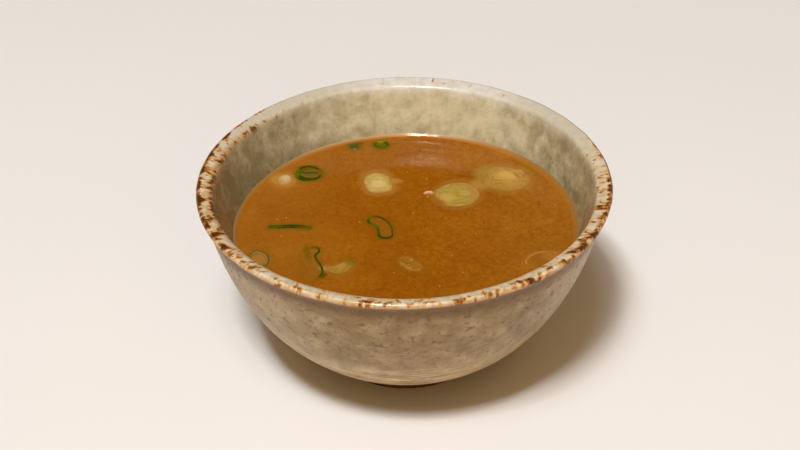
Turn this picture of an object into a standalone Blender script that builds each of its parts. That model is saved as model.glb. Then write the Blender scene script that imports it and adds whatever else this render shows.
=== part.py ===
"""Miso soup in a hand-thrown stoneware bowl, with onion slices and rings afloat.

Everything is in metres, +Z up. The origin is the middle of the bowl's foot, on the
surface that the bowl stands on. The bowl and the soup are turned about Z, and every
floating piece is an upright slab or band that sits in a pocket cut out of the soup.
"""

import math
from collections import namedtuple

import bmesh
import bpy
from mathutils import Matrix, Vector
from mathutils.geometry import interpolate_bezier

MM = 0.001
GAP = 0.3 * MM                   # clearance between pieces that lie against each other

# Bowl: outer size, lip, foot ring and floor.
RIM_RADIUS = 62.9 * MM
BOWL_HEIGHT = 61.6 * MM
LIP_WIDTH = 5.3 * MM
LIP_BEAD = 0.95 * MM             # radius of the rolled outer edge of the lip
LIP_BEAD_END = -60.0             # angle in degrees at which the bead turns into the neck
LIP_INNER_ROUND = 1.25 * MM
LIP_FALL = 0.7 * MM              # how far the lip's inner edge lies below its outer edge
NECK_INSET = 2.1 * MM            # how far the wall starts inside the lip's outer edge
NECK_DROP = 4.6 * MM             # how far below the lip's top the wall starts
NECK_TOP_HANDLE = 1.0 * MM
NECK_WALL_HANDLE = 1.2 * MM
FOOT_HEIGHT = 5.0 * MM
FOOT_TOP_RADIUS = 26.2 * MM
FOOT_BASE_RADIUS = 25.3 * MM
FOOT_INNER_RADIUS = 20.0 * MM
FOOT_CHAMFER = 0.7 * MM
FOOT_RECESS = 3.5 * MM
FLOOR_HEIGHT = 10.0 * MM         # inside floor above the table

# Bowl wall: lengths and slopes of the curves' handles.
OUTER_FOOT_HANDLE = 14.0 * MM
OUTER_FOOT_SLOPE = math.radians(24.6)
OUTER_LIP_HANDLE = 31.9 * MM
OUTER_LIP_SLOPE = math.radians(78.7)
INNER_FLOOR_HANDLE = 38.0 * MM
INNER_LIP_HANDLE = 30.0 * MM
INNER_LIP_SLOPE = math.radians(73.0)

# Soup and what floats on it.
SOUP_LEVEL = 44.7 * MM
SLICE_EDGE = 0.4 * MM            # bevel round the two faces of a slice
POCKET_HEADROOM = 3.0 * MM       # how far a pocket's cutter stands out of the soup

# Fineness of the turned and outlined shapes.
TURN_STEPS = 60
WALL_STEPS = 10
ARC_STEPS = 4
NECK_STEPS = 4
OUTLINE_STEPS = 22
SIDE_STEPS = 8
END_STEPS = 4

# One floating piece. Lengths are in millimetres: the place of its middle, the length and
# width of its oval outline, how far that oval is bowed to one side or waved like an S,
# its wall (0 for a full slice), and how far it reaches below and above the soup.
Piece = namedtuple("Piece", "name x y yaw length width bow wave wall depth rise colour")

LEEK_GREEN = (176, 146, 62)
PALE_ONION = (201, 168, 92)
CLEAR_ONION = (160, 104, 36)
DARK_GREEN = (84, 78, 10)
SPRING_GREEN = (112, 112, 20)

PIECES = (
    Piece("leek_slice_front", 16.8, 16.8, 10, 16.0, 15.2, 0.0, 0.4, 0.0, 2.6, 0.6, LEEK_GREEN),
    Piece("leek_slice_back", 32.2, 25.6, 5, 17.6, 15.6, 0.0, -0.4, 0.0, 2.4, 0.7, LEEK_GREEN),
    Piece("onion_slice", -8.3, 24.2, -55, 13.2, 10.2, -0.3, -0.8, 0.0, 2.6, 0.5, PALE_ONION),
    Piece("onion_chip", -38.4, 26.6, 87, 7.2, 5.8, 0.0, 0.2, 0.0, 2.0, 0.5, PALE_ONION),
    Piece("onion_wedge", -19.7, -20.9, 17, 9.6, 5.4, -1.5, 0.4, 0.0, 2.2, 0.2, CLEAR_ONION),
    Piece("bean_ring", -9.4, -2.1, -61, 14.0, 5.0, 3.2, -0.3, 0.8, 2.4, 0.5, DARK_GREEN),
    Piece("dark_ring", -30.7, 29.8, 18, 9.0, 8.8, 0.0, 0.0, 1.1, 2.6, 0.6, DARK_GREEN),
    Piece("wavy_ring", -28.0, -19.6, -104, 17.0, 4.4, 0.2, 2.2, 0.8, 2.2, 0.4, SPRING_GREEN),
    Piece("wall_ring", -43.9, -16.8, 110, 8.8, 6.2, 0.0, 0.0, 1.0, 2.0, 0.3, SPRING_GREEN),
    Piece("clear_ring", 2.2, -19.6, -60, 9.2, 5.4, -1.4, 0.3, 0.8, 1.8, 0.2, CLEAR_ONION),
    Piece("right_ring", 41.3, -19.5, 65, 10.8, 9.0, 0.0, 0.0, 0.9, 1.8, 0.3, CLEAR_ONION),
    Piece("folded_ring", -35.5, -0.7, -4, 13.2, 1.5, 0.5, 0.2, 0.0, 2.4, 0.5, DARK_GREEN),
    Piece("bright_ring", -7.4, 46.8, -10, 5.4, 4.8, 0.0, 0.0, 1.0, 2.0, 0.5, SPRING_GREEN),
    Piece("green_chip", -16.3, 46.0, 18, 3.8, 2.6, -0.5, 0.0, 0.0, 1.8, 0.5, SPRING_GREEN),
)


def linear_colour(channels):
    """Scene-linear RGBA for a colour given as eight-bit sRGB channels."""
    scaled = [channel / 255.0 for channel in channels]
    bright = [((value + 0.055) / 1.055) ** 2.4 if value > 0.04045 else value / 12.92
              for value in scaled]
    return (*bright, 1.0)


def make_material(name, channels, roughness):
    material = bpy.data.materials.new(name)
    material.use_nodes = True
    shader = material.node_tree.nodes["Principled BSDF"]
    shader.inputs["Base Color"].default_value = linear_colour(channels)
    shader.inputs["Roughness"].default_value = roughness
    shader.inputs["Metallic"].default_value = 0.0
    return material


def make_object(name, mesh_builder, material, smooth_under=math.radians(40.0)):
    """Turn a finished closed bmesh, faces outwards, into a smooth-shaded object."""
    bmesh.ops.recalc_face_normals(mesh_builder, faces=mesh_builder.faces)
    if mesh_builder.calc_volume(signed=True) < 0.0:
        bmesh.ops.reverse_faces(mesh_builder, faces=mesh_builder.faces)
    mesh = bpy.data.meshes.new(name)
    mesh_builder.to_mesh(mesh)
    mesh_builder.free()
    mesh.shade_smooth()
    mesh.set_sharp_from_angle(angle=smooth_under)
    mesh.materials.append(material)
    solid = bpy.data.objects.new(name, mesh)
    bpy.context.scene.collection.objects.link(solid)
    return solid


def profile_point(radius, height):
    return Vector((radius, 0.0, height))


def profile_arc(radius, height, size, start_deg, end_deg):
    """Points of an arc in the profile plane, from one angle to another."""
    points = []
    for step in range(ARC_STEPS + 1):
        angle = math.radians(start_deg + (end_deg - start_deg) * step / ARC_STEPS)
        points.append(profile_point(radius + size * math.cos(angle),
                                    height + size * math.sin(angle)))
    return points


def sloped(point, length, slope):
    """The point that lies a length away from another, at a slope in the profile plane."""
    return point + profile_point(length * math.cos(slope), length * math.sin(slope))


def inner_wall():
    """Profile of the inside, from the middle of the floor up to the lip's inner edge."""
    floor = profile_point(0.0, FLOOR_HEIGHT)
    lip_edge = profile_point(RIM_RADIUS - LIP_WIDTH,
                             BOWL_HEIGHT - LIP_FALL - 1.5 * LIP_INNER_ROUND)
    return interpolate_bezier(floor, floor + profile_point(INNER_FLOOR_HANDLE, 0.0),
                              sloped(lip_edge, -INNER_LIP_HANDLE, INNER_LIP_SLOPE),
                              lip_edge, WALL_STEPS)


def wall_top():
    return profile_point(RIM_RADIUS - NECK_INSET, BOWL_HEIGHT - NECK_DROP)


def outer_wall():
    """Profile of the outside, from the neck under the lip down to the top of the foot."""
    under_lip = wall_top()
    foot_top = profile_point(FOOT_TOP_RADIUS + 0.8 * MM, FOOT_HEIGHT)
    return interpolate_bezier(under_lip,
                              sloped(under_lip, -OUTER_LIP_HANDLE, OUTER_LIP_SLOPE),
                              sloped(foot_top, OUTER_FOOT_HANDLE, OUTER_FOOT_SLOPE),
                              foot_top, WALL_STEPS)


def lip():
    """Profile of the rounded lip, from its inner edge over to its rolled outer edge."""
    inner_round = profile_arc(RIM_RADIUS - LIP_WIDTH + LIP_INNER_ROUND,
                              BOWL_HEIGHT - LIP_FALL - LIP_INNER_ROUND,
                              LIP_INNER_ROUND, 190.0, 100.0)
    outer_bead = profile_arc(RIM_RADIUS - LIP_BEAD, BOWL_HEIGHT - LIP_BEAD,
                             LIP_BEAD, 90.0, LIP_BEAD_END)
    return inner_round + outer_bead


def neck():
    """Profile of the hollow under the lip, between the outer bead and the wall."""
    bead_turn = math.radians(LIP_BEAD_END)
    bead_end = profile_point(RIM_RADIUS - LIP_BEAD + LIP_BEAD * math.cos(bead_turn),
                             BOWL_HEIGHT - LIP_BEAD + LIP_BEAD * math.sin(bead_turn))
    inwards = profile_point(math.sin(bead_turn), -math.cos(bead_turn))
    curve = interpolate_bezier(bead_end, bead_end + NECK_TOP_HANDLE * inwards,
                               sloped(wall_top(), NECK_WALL_HANDLE, OUTER_LIP_SLOPE),
                               wall_top(), NECK_STEPS)
    return curve[1:-1]


def foot():
    """Profile of the foot ring and the shallow recess inside it, down to the axis."""
    return [profile_point(FOOT_TOP_RADIUS, FOOT_HEIGHT - 0.6 * MM),
            profile_point(FOOT_BASE_RADIUS, FOOT_CHAMFER),
            profile_point(FOOT_BASE_RADIUS - FOOT_CHAMFER, 0.0),
            profile_point(FOOT_INNER_RADIUS + FOOT_CHAMFER, 0.0),
            profile_point(FOOT_INNER_RADIUS, FOOT_CHAMFER),
            profile_point(FOOT_INNER_RADIUS - FOOT_CHAMFER, FOOT_RECESS),
            profile_point(0.0, FOOT_RECESS)]


def soup_profile():
    """Profile of the soup: a skin's gap inside the bowl, cut off level at the top."""
    wall = inner_wall()
    side = []
    for index, point in enumerate(wall):
        before = wall[max(index - 1, 0)]
        after = wall[min(index + 1, len(wall) - 1)]
        along = (after - before).normalized()
        inward = Vector((-along.z, 0.0, along.x))
        side.append(point + GAP * inward)
    side[0].x = 0.0
    below = [point for point in side if point.z < SOUP_LEVEL]
    above = side[len(below)]
    share = (SOUP_LEVEL - below[-1].z) / (above.z - below[-1].z)
    edge = below[-1].lerp(above, share)
    return below + [edge, profile_point(0.0, SOUP_LEVEL)]


def turned_solid(name, profile, material):
    """Spin a profile that starts and ends on the Z axis into a closed solid."""
    builder = bmesh.new()
    points = [builder.verts.new(point) for point in profile]
    edges = [builder.edges.new(pair) for pair in zip(points, points[1:])]
    bmesh.ops.spin(builder, geom=points + edges, axis=(0.0, 0.0, 1.0), cent=(0.0, 0.0, 0.0),
                   angle=math.tau, steps=TURN_STEPS, use_merge=True, use_duplicate=False)
    bmesh.ops.remove_doubles(builder, verts=builder.verts, dist=0.01 * MM)
    return make_object(name, builder, material)


def centre_line(piece, reach):
    """Middle of a loop and its direction there; reach goes from -1 to 1 along the length."""
    half = piece.length / 2.0
    across = piece.bow * (1.0 - reach ** 2) + piece.wave * math.sin(math.pi * reach)
    climb = -2.0 * piece.bow * reach + piece.wave * math.pi * math.cos(math.pi * reach)
    return Vector((reach * half, across, 0.0)) * MM, Vector((half, climb, 0.0)).normalized()


def turned_left(direction):
    return Vector((-direction.y, direction.x, 0.0))


def narrow_outline(piece, spread):
    """Outline of a squashed loop: even sides along its bent middle, and round ends."""
    radius = piece.width * MM / 2.0 + spread
    end = 1.0 - piece.width / piece.length
    points = []
    for side in (1.0, -1.0):
        for step in range(SIDE_STEPS):
            middle, along = centre_line(piece, side * end * (1.0 - 2.0 * step / SIDE_STEPS))
            points.append(middle + side * radius * turned_left(along))
        middle, along = centre_line(piece, -side * end)
        for step in range(END_STEPS):
            turn = math.pi * step / END_STEPS
            points.append(middle + side * radius * (math.cos(turn) * turned_left(along)
                                                    - math.sin(turn) * along))
    return points


def oval_outline(piece, spread):
    """Outline of a full slice or an open ring: an oval, bowed or waved a little."""
    oval = []
    for step in range(OUTLINE_STEPS):
        turn = math.tau * step / OUTLINE_STEPS
        middle, _ = centre_line(piece, math.cos(turn))
        oval.append(middle + Vector((0.0, math.sin(turn) * piece.width * MM / 2.0, 0.0)))
    points = []
    for index, point in enumerate(oval):
        along = (oval[(index + 1) % OUTLINE_STEPS] - oval[index - 1]).normalized()
        points.append(point - spread * turned_left(along))
    return points


def outline(piece, spread):
    """Closed outline about the piece's own middle, long way along X, let out by spread."""
    if piece.wall > 0.0 and piece.length > 1.5 * piece.width:
        return narrow_outline(piece, spread)
    return oval_outline(piece, spread)


def upright_solid(piece, spread, bottom, top):
    """A slab or band with the piece's outline, made thicker all round by spread."""
    builder = bmesh.new()
    corners = [builder.verts.new((point.x, point.y, bottom)) for point in outline(piece, spread)]
    base = builder.faces.new(corners)
    base.normal_update()
    faces = [base]
    if piece.wall > 0.0:
        faces = bmesh.ops.inset_region(builder, faces=[base], use_boundary=True,
                                       use_even_offset=True,
                                       thickness=piece.wall * MM + 2.0 * spread)["faces"]
        bmesh.ops.delete(builder, geom=[base], context="FACES")
    raised = bmesh.ops.extrude_face_region(builder, geom=faces, use_keep_orig=True)["geom"]
    lifted = [item for item in raised if isinstance(item, bmesh.types.BMVert)]
    bmesh.ops.translate(builder, verts=lifted, vec=(0.0, 0.0, top - bottom))
    place = Matrix.Translation((piece.x * MM, piece.y * MM, 0.0))
    place @= Matrix.Rotation(math.radians(piece.yaw), 4, "Z")
    builder.transform(place)
    return builder


def floating_piece(piece, material):
    bottom = SOUP_LEVEL - piece.depth * MM
    top = SOUP_LEVEL + piece.rise * MM
    solid = make_object(piece.name, upright_solid(piece, 0.0, bottom, top), material)
    if piece.wall == 0.0 and piece.width * MM > 4.0 * SLICE_EDGE:
        edge = solid.modifiers.new("edge", "BEVEL")
        edge.width = SLICE_EDGE
        edge.segments = 1
        edge.limit_method = "ANGLE"
    return solid


def pocket_cutter(piece, material):
    """The space that a floating piece takes out of the soup, left out of the model."""
    bottom = SOUP_LEVEL - piece.depth * MM - GAP
    top = SOUP_LEVEL + POCKET_HEADROOM
    cutter = make_object(piece.name + "_pocket", upright_solid(piece, GAP, bottom, top), material)
    cutter.hide_render = True
    cutter.display_type = "WIRE"
    return cutter


def main():
    for leftover in list(bpy.data.objects):
        bpy.data.objects.remove(leftover, do_unlink=True)

    glaze = make_material("speckled_glaze", (172, 150, 120), 0.25)
    broth = make_material("miso_broth", (156, 92, 14), 0.1)

    turned_solid("bowl", inner_wall() + lip() + neck() + outer_wall() + foot(), glaze)
    soup = turned_solid("soup", soup_profile(), broth)

    for piece in PIECES:
        skin = make_material(piece.name, piece.colour, 0.3)
        floating_piece(piece, skin)
        cut = soup.modifiers.new(piece.name, "BOOLEAN")
        cut.operation = "DIFFERENCE"
        cut.solver = "EXACT"
        cut.object = pocket_cutter(piece, skin)


main()
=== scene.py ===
"""Miso soup in a hand-thrown stoneware bowl: the finish of every surface.

Everything is in metres, +Z up, in the frame's own place. The bowl and the soup are turned
about Z. The slices and rings float at the soup's level, each in the place of its solid.
"""

import math
import random
from collections import namedtuple

import bmesh
import bpy
from mathutils import Matrix, Vector, kdtree, noise
from mathutils.geometry import interpolate_bezier


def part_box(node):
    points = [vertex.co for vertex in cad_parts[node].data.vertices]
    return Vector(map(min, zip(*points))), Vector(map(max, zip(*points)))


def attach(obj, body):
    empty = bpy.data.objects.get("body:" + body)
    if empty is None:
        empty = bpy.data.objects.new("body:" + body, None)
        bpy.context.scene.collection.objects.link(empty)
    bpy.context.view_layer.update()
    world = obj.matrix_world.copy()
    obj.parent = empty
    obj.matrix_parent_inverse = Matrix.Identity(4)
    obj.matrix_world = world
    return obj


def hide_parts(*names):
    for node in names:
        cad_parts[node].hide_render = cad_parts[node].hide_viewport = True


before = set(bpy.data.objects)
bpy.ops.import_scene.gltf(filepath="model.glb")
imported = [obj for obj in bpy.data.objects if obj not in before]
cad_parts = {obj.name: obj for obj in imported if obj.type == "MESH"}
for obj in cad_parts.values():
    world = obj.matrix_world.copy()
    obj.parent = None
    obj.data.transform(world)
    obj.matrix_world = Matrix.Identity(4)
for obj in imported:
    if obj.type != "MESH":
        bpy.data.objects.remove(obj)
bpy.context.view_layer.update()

MM = 0.001
UP = Vector((0.0, 0.0, 1.0))

# Bowl, driven by the box of its solid.
BOWL_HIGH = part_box("bowl")[1]
RIM_RADIUS = BOWL_HIGH.x
BOWL_HEIGHT = BOWL_HIGH.z
LIP_WIDTH = 5.3 * MM
LIP_BEAD = 0.95 * MM
LIP_BEAD_END = -60.0             # angle in degrees at which the bead turns into the neck
LIP_INNER_ROUND = 2.0 * MM
LIP_INNER_START = 163.0          # angle in degrees at which the wall turns into the lip
LIP_INNER_END = 98.0             # and at which that round turns into the lip's top
LIP_FALL = 0.7 * MM
NECK_INSET = 2.1 * MM
NECK_DROP = 4.6 * MM
NECK_TOP_HANDLE = 1.0 * MM
NECK_WALL_HANDLE = 1.2 * MM
FOOT_HEIGHT = 5.5 * MM
FOOT_TOP_RADIUS = 26.2 * MM
FOOT_BASE_RADIUS = 25.3 * MM
FOOT_INNER_RADIUS = 20.0 * MM
FOOT_CHAMFER = 0.7 * MM
FOOT_RECESS = 3.5 * MM
FOOT_LEDGE = 0.8 * MM            # how far the wall overhangs the foot
FOOT_LEDGE_DROP = 0.6 * MM
FOOT_FACE = 0.3 * MM             # below this the foot is left flat, to stand on
BARE_HEIGHT = 9.5 * MM           # below this the clay is left without glaze
FLOOR_HEIGHT = 10.0 * MM
OUTER_FOOT_HANDLE = 14.0 * MM
OUTER_FOOT_SLOPE = math.radians(24.6)
OUTER_LIP_HANDLE = 31.9 * MM
OUTER_LIP_SLOPE = math.radians(78.7)
INNER_FLOOR_HANDLE = 38.0 * MM
INNER_LIP_HANDLE = 30.0 * MM
INNER_LIP_SLOPE = math.radians(73.0)

# How far the hand-thrown wall strays from a true turned one.
WALL_SWELL = 0.22 * MM
LIP_SWELL = 0.16 * MM
LIP_SWELL_PLACE = -1.5 * MM      # where along the profile the lip strays most
LIP_SWELL_REACH = 6.0 * MM
THROWING_RIDGE = 0.07 * MM
THROWING_PITCH = 2.3 * MM
THROWING_START = 2.0 * MM        # how far past the lip's edge, and off the table, they begin
THROWING_REACH = 16.0 * MM       # how far above the foot they are still deep
DENT_DEPTH = 1.0 * MM            # how much thicker the wall is at one place, by the soup
DENT_TURN = 128.0
DENT_SPREAD = 42.0
DENT_TOP = -9.0 * MM             # where along the profile it begins
DENT_BLEND = 11.0 * MM

# Soup, driven by the box of its solid.
SOUP_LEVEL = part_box("soup")[1].z
SOUP_TUCK = 0.7 * MM             # how far the soup reaches into the wall
SOUP_TUCK_START = 5.0 * MM
SOUP_SWELL = 0.03 * MM           # how uneven its surface is
MENISCUS_RISE = 2.0 * MM
MENISCUS_SLOPE = 0.87            # slope of the band where the soup climbs the wall
MENISCUS_START = 1.55 * MM       # how far from the hidden edge that band begins
MENISCUS_REACH = 0.5 * MM
CLING_RISE = 0.05 * MM           # how far the soup climbs up a floating piece
CLING_REACH = 1.2 * MM
RIPPLE_HEIGHT = 0.06 * MM
RIPPLE_PITCH = 4.8 * MM
RIPPLE_BEND = 1.2 * MM

# Pieces afloat.
SLICE_SINK = 0.25 * MM           # how far a slice's edge lies under the soup's level
SLICE_SHOULDER = 0.3             # share of the way in over which its top rises
SLICE_SWELL = 0.10 * MM
RING_FOOT = 0.7 * MM             # a ring is even from its foot up to this far under the level
RING_SWELL = 0.12 * MM
DRUM_RADIUS = 20.0 * MM          # a ring is spun on this drum before it is bent to its loop
ROLLED_SKIN_PLACE = (7.5 * MM, 18.0 * MM)
ROLLED_SKIN_TURN = 12.0
ROLLED_SKIN_LONG = 1.7           # how it is stretched and squashed from a ball
ROLLED_SKIN_WIDE = 0.62
ROLLED_SKIN_HIGH = 0.5
ROLLED_SKIN_BEND = 0.35 * MM
ROLLED_SKIN_CRUMPLE = 0.12 * MM

# Grains and bubbles, scattered in a square and kept inside a circle.
GRAIN_COUNT = 900
GRAIN_LEAST = 0.10 * MM
GRAIN_SPREAD = 0.15 * MM
GRAIN_LENGTHENING = 0.6
GRAIN_FLATNESS = 0.55
LOOSE_BUBBLE_COUNT = 28
BUBBLE_LEAST = 0.11 * MM
BUBBLE_SPREAD = 0.13 * MM
BUBBLE_LIFT = 0.25               # share of its radius by which its middle stands out
SCATTER_HALF = 51.0 * MM
SCATTER_RADIUS = 50.5 * MM
SPOT_GAP = 0.6 * MM              # least distance to an outline
WIDEST_HALF = 12.0 * MM          # a place inside an outline lies nearer to it than this

# Fineness of the meshes.
TURN_STEPS = 288
INNER_STEPS = 44
OUTER_STEPS = 52
ARC_STEPS = 9
NECK_STEPS = 9
FOOT_STEP = 1.2 * MM
SOUP_WALL_STEPS = 60
SOUP_STEP_LEAST = 0.12 * MM      # at the wall; the steps grow from there to the middle
SOUP_STEP_GROWTH = 0.06
SOUP_STEP_MOST = 0.42 * MM
SOUP_MIDDLE = 0.3 * MM
LOOP_STEPS = 120
LOOP_NUDGE = 0.004               # share of a loop to either side that gives its direction
SLICE_STEPS = 26
BAND_TOP_STEPS = 6
FLOOR_STEPS = 96
WELD = 0.005 * MM

# Colours used in more than one place, as linear red, green and blue.
DARK_GREEN = (0.036, 0.040, 0.001)
DEEP_GREEN = (0.052, 0.074, 0.001)
LEAF_GREEN = (0.085, 0.128, 0.001)
OLIVE = (0.130, 0.090, 0.002)
TAN = (0.400, 0.205, 0.040)
DARK_BROTH = (0.205, 0.052, 0.0012)
BROTH = (0.272, 0.082, 0.0026)
PALE_BROTH = (0.335, 0.120, 0.0060)
GREEN_BROTH = (0.120, 0.074, 0.002)
ONION_MILK = (0.42, 0.205, 0.040)
AMBER = (0.52, 0.290, 0.105)
RUST = (0.33, 0.115, 0.014)
IRON_BLACK = (0.075, 0.022, 0.003)

# One floating piece: its outline as its solid has it, in millimetres and degrees.
Garnish = namedtuple("Garnish", "name yaw length width bow wave wall")

SLICES = (
    Garnish("leek_slice_front", 10, 16.2, 16.0, 0.0, 0.4, 0.0),
    Garnish("leek_slice_back", 5, 17.8, 16.4, 0.0, -0.4, 0.0),
    Garnish("onion_slice", -55, 13.2, 10.2, -0.3, -0.8, 0.0),
    Garnish("onion_chip", 87, 7.2, 5.8, 0.0, 0.2, 0.0),
    Garnish("onion_wedge", 17, 9.6, 5.4, -1.5, 0.4, 0.0),
    Garnish("green_chip", 18, 3.8, 2.6, -0.5, 0.0, 0.0),
)

RINGS = (
    Garnish("bean_ring", -63, 13.0, 4.8, 3.0, -0.3, 0.6),
    Garnish("dark_ring", 18, 9.0, 8.8, 0.0, 0.0, 1.0),
    Garnish("wavy_ring", -104, 17.0, 4.4, 0.2, 2.2, 0.55),
    Garnish("wall_ring", 110, 8.8, 6.2, 0.0, 0.0, 0.8),
    Garnish("clear_ring", -60, 9.2, 5.4, -1.4, 0.3, 0.8),
    Garnish("right_ring", 20, 11.8, 9.2, 0.0, 0.0, 0.9),
    Garnish("folded_ring", -4, 13.2, 1.5, 0.5, 0.2, 0.45),
    Garnish("bright_ring", -10, 5.4, 4.8, 0.0, 0.0, 0.9),
)

# Looks of a slice: colours of its core, body, darker body and soaked edge; how far in the
# edge fades, how far the top rises in millimetres, and how many layers and how deep.
Flesh = namedtuple("Flesh", "core body shade halo fade rise layers groove")

FLESH = {
    "leek_slice_front": Flesh((0.400, 0.262, 0.046), (0.410, 0.246, 0.050), (0.310, 0.178, 0.028),
                              (0.330, 0.180, 0.024), 0.32, 0.16, 4, 0.03),
    "leek_slice_back": Flesh((0.430, 0.240, 0.042), (0.385, 0.205, 0.038), (0.300, 0.145, 0.020),
                             (0.320, 0.165, 0.020), 0.32, 0.16, 4, 0.03),
    "onion_slice": Flesh((0.570, 0.400, 0.140), (0.500, 0.340, 0.092), (0.430, 0.272, 0.060),
                         (0.430, 0.245, 0.045), 0.36, 0.20, 3, 0.03),
    "onion_chip": Flesh((0.470, 0.350, 0.160), (0.430, 0.275, 0.085), (0.390, 0.220, 0.045),
                        (0.400, 0.205, 0.030), 0.50, 0.22, 2, 0.0),
    "onion_wedge": Flesh((0.355, 0.190, 0.032), (0.350, 0.180, 0.028), (0.290, 0.136, 0.017),
                         (0.290, 0.130, 0.010), 0.30, 0.14, 3, 0.0),
    "green_chip": Flesh((0.040, 0.052, 0.001), (0.050, 0.060, 0.001), (0.034, 0.038, 0.001),
                        (0.070, 0.060, 0.001), 0.20, 0.30, 1, 0.0),
}

# Looks of a ring: colours of its skin, of vivid patches and of its inner face; how far out
# the skin ends, from -1 inside to 1 outside; how thick it is against its solid; how much
# thicker it is towards one side, and how far it sinks in millimetres towards another.
Skin = namedtuple("Skin", "skin vivid inner line thick bold bold_turn sunk sunk_turn")

SKINS = {
    "bean_ring": Skin(DARK_GREEN, DEEP_GREEN, OLIVE, -0.5, 0.7, 1.0, 230.0, 0.0, 0.0),
    "dark_ring": Skin(DARK_GREEN, DEEP_GREEN, OLIVE, -0.5, 1.5, 0.5, 240.0, 0.40, 350.0),
    "wavy_ring": Skin(DARK_GREEN, DEEP_GREEN, OLIVE, -0.4, 1.1, 0.3, 0.0, 0.95, 205.0),
    "wall_ring": Skin((0.060, 0.058, 0.002), DEEP_GREEN, (0.260, 0.155, 0.040), 0.15, 1.3,
                      0.5, 90.0, 0.15, 250.0),
    "clear_ring": Skin((0.300, 0.130, 0.012), (0.33, 0.160, 0.022), (0.34, 0.170, 0.026),
                       0.0, 1.4, 1.4, 215.0, 0.35, 60.0),
    "right_ring": Skin((0.340, 0.150, 0.028), (0.40, 0.205, 0.062), (0.37, 0.175, 0.038),
                       0.0, 1.0, 0.0, 0.0, 0.30, 0.0),
    "folded_ring": Skin(DARK_GREEN, DEEP_GREEN, DARK_GREEN, 0.0, 1.2, 0.0, 0.0, 0.15, 270.0),
    "bright_ring": Skin(DEEP_GREEN, LEAF_GREEN, (0.13, 0.140, 0.003), -0.3, 2.0, 0.9, 60.0,
                        0.3, 280.0),
}

# How a floating piece tints the soup beside it: how pale and how green, over what reach in
# millimetres, and how pale and green the soup is inside its outline.
Glow = namedtuple("Glow", "pale green reach pale_inside green_inside")

GLOWS = {
    "leek_slice_front": Glow(0.28, 0.12, 0.8, 0.28, 0.12),
    "leek_slice_back": Glow(0.28, 0.16, 0.9, 0.28, 0.16),
    "onion_slice": Glow(0.42, 0.0, 1.3, 0.42, 0.0),
    "onion_chip": Glow(0.45, 0.0, 1.2, 0.45, 0.0),
    "onion_wedge": Glow(0.20, 0.25, 1.0, 0.20, 0.25),
    "green_chip": Glow(0.0, 0.70, 1.1, 0.0, 0.70),
    "bean_ring": Glow(0.0, 0.50, 1.0, 0.05, 0.10),
    "dark_ring": Glow(0.0, 0.60, 1.1, 0.0, 1.1),
    "wavy_ring": Glow(0.0, 0.40, 1.2, 0.10, 0.25),
    "wall_ring": Glow(0.0, 0.55, 0.9, 0.15, 0.05),
    "clear_ring": Glow(0.05, 0.25, 1.4, 0.25, 0.10),
    "right_ring": Glow(0.08, 0.0, 1.0, 0.05, 0.0),
    "folded_ring": Glow(0.0, 0.80, 1.0, 0.0, 1.0),
    "bright_ring": Glow(0.0, 0.70, 0.9, 0.0, 0.90),
}

# A stain on a piece: its middle and its length and width in millimetres, its turn in
# degrees, its colour, how strongly it shows, and how soft its edge is.
Stain = namedtuple("Stain", "x y length width turn colour strength soft")

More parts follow.
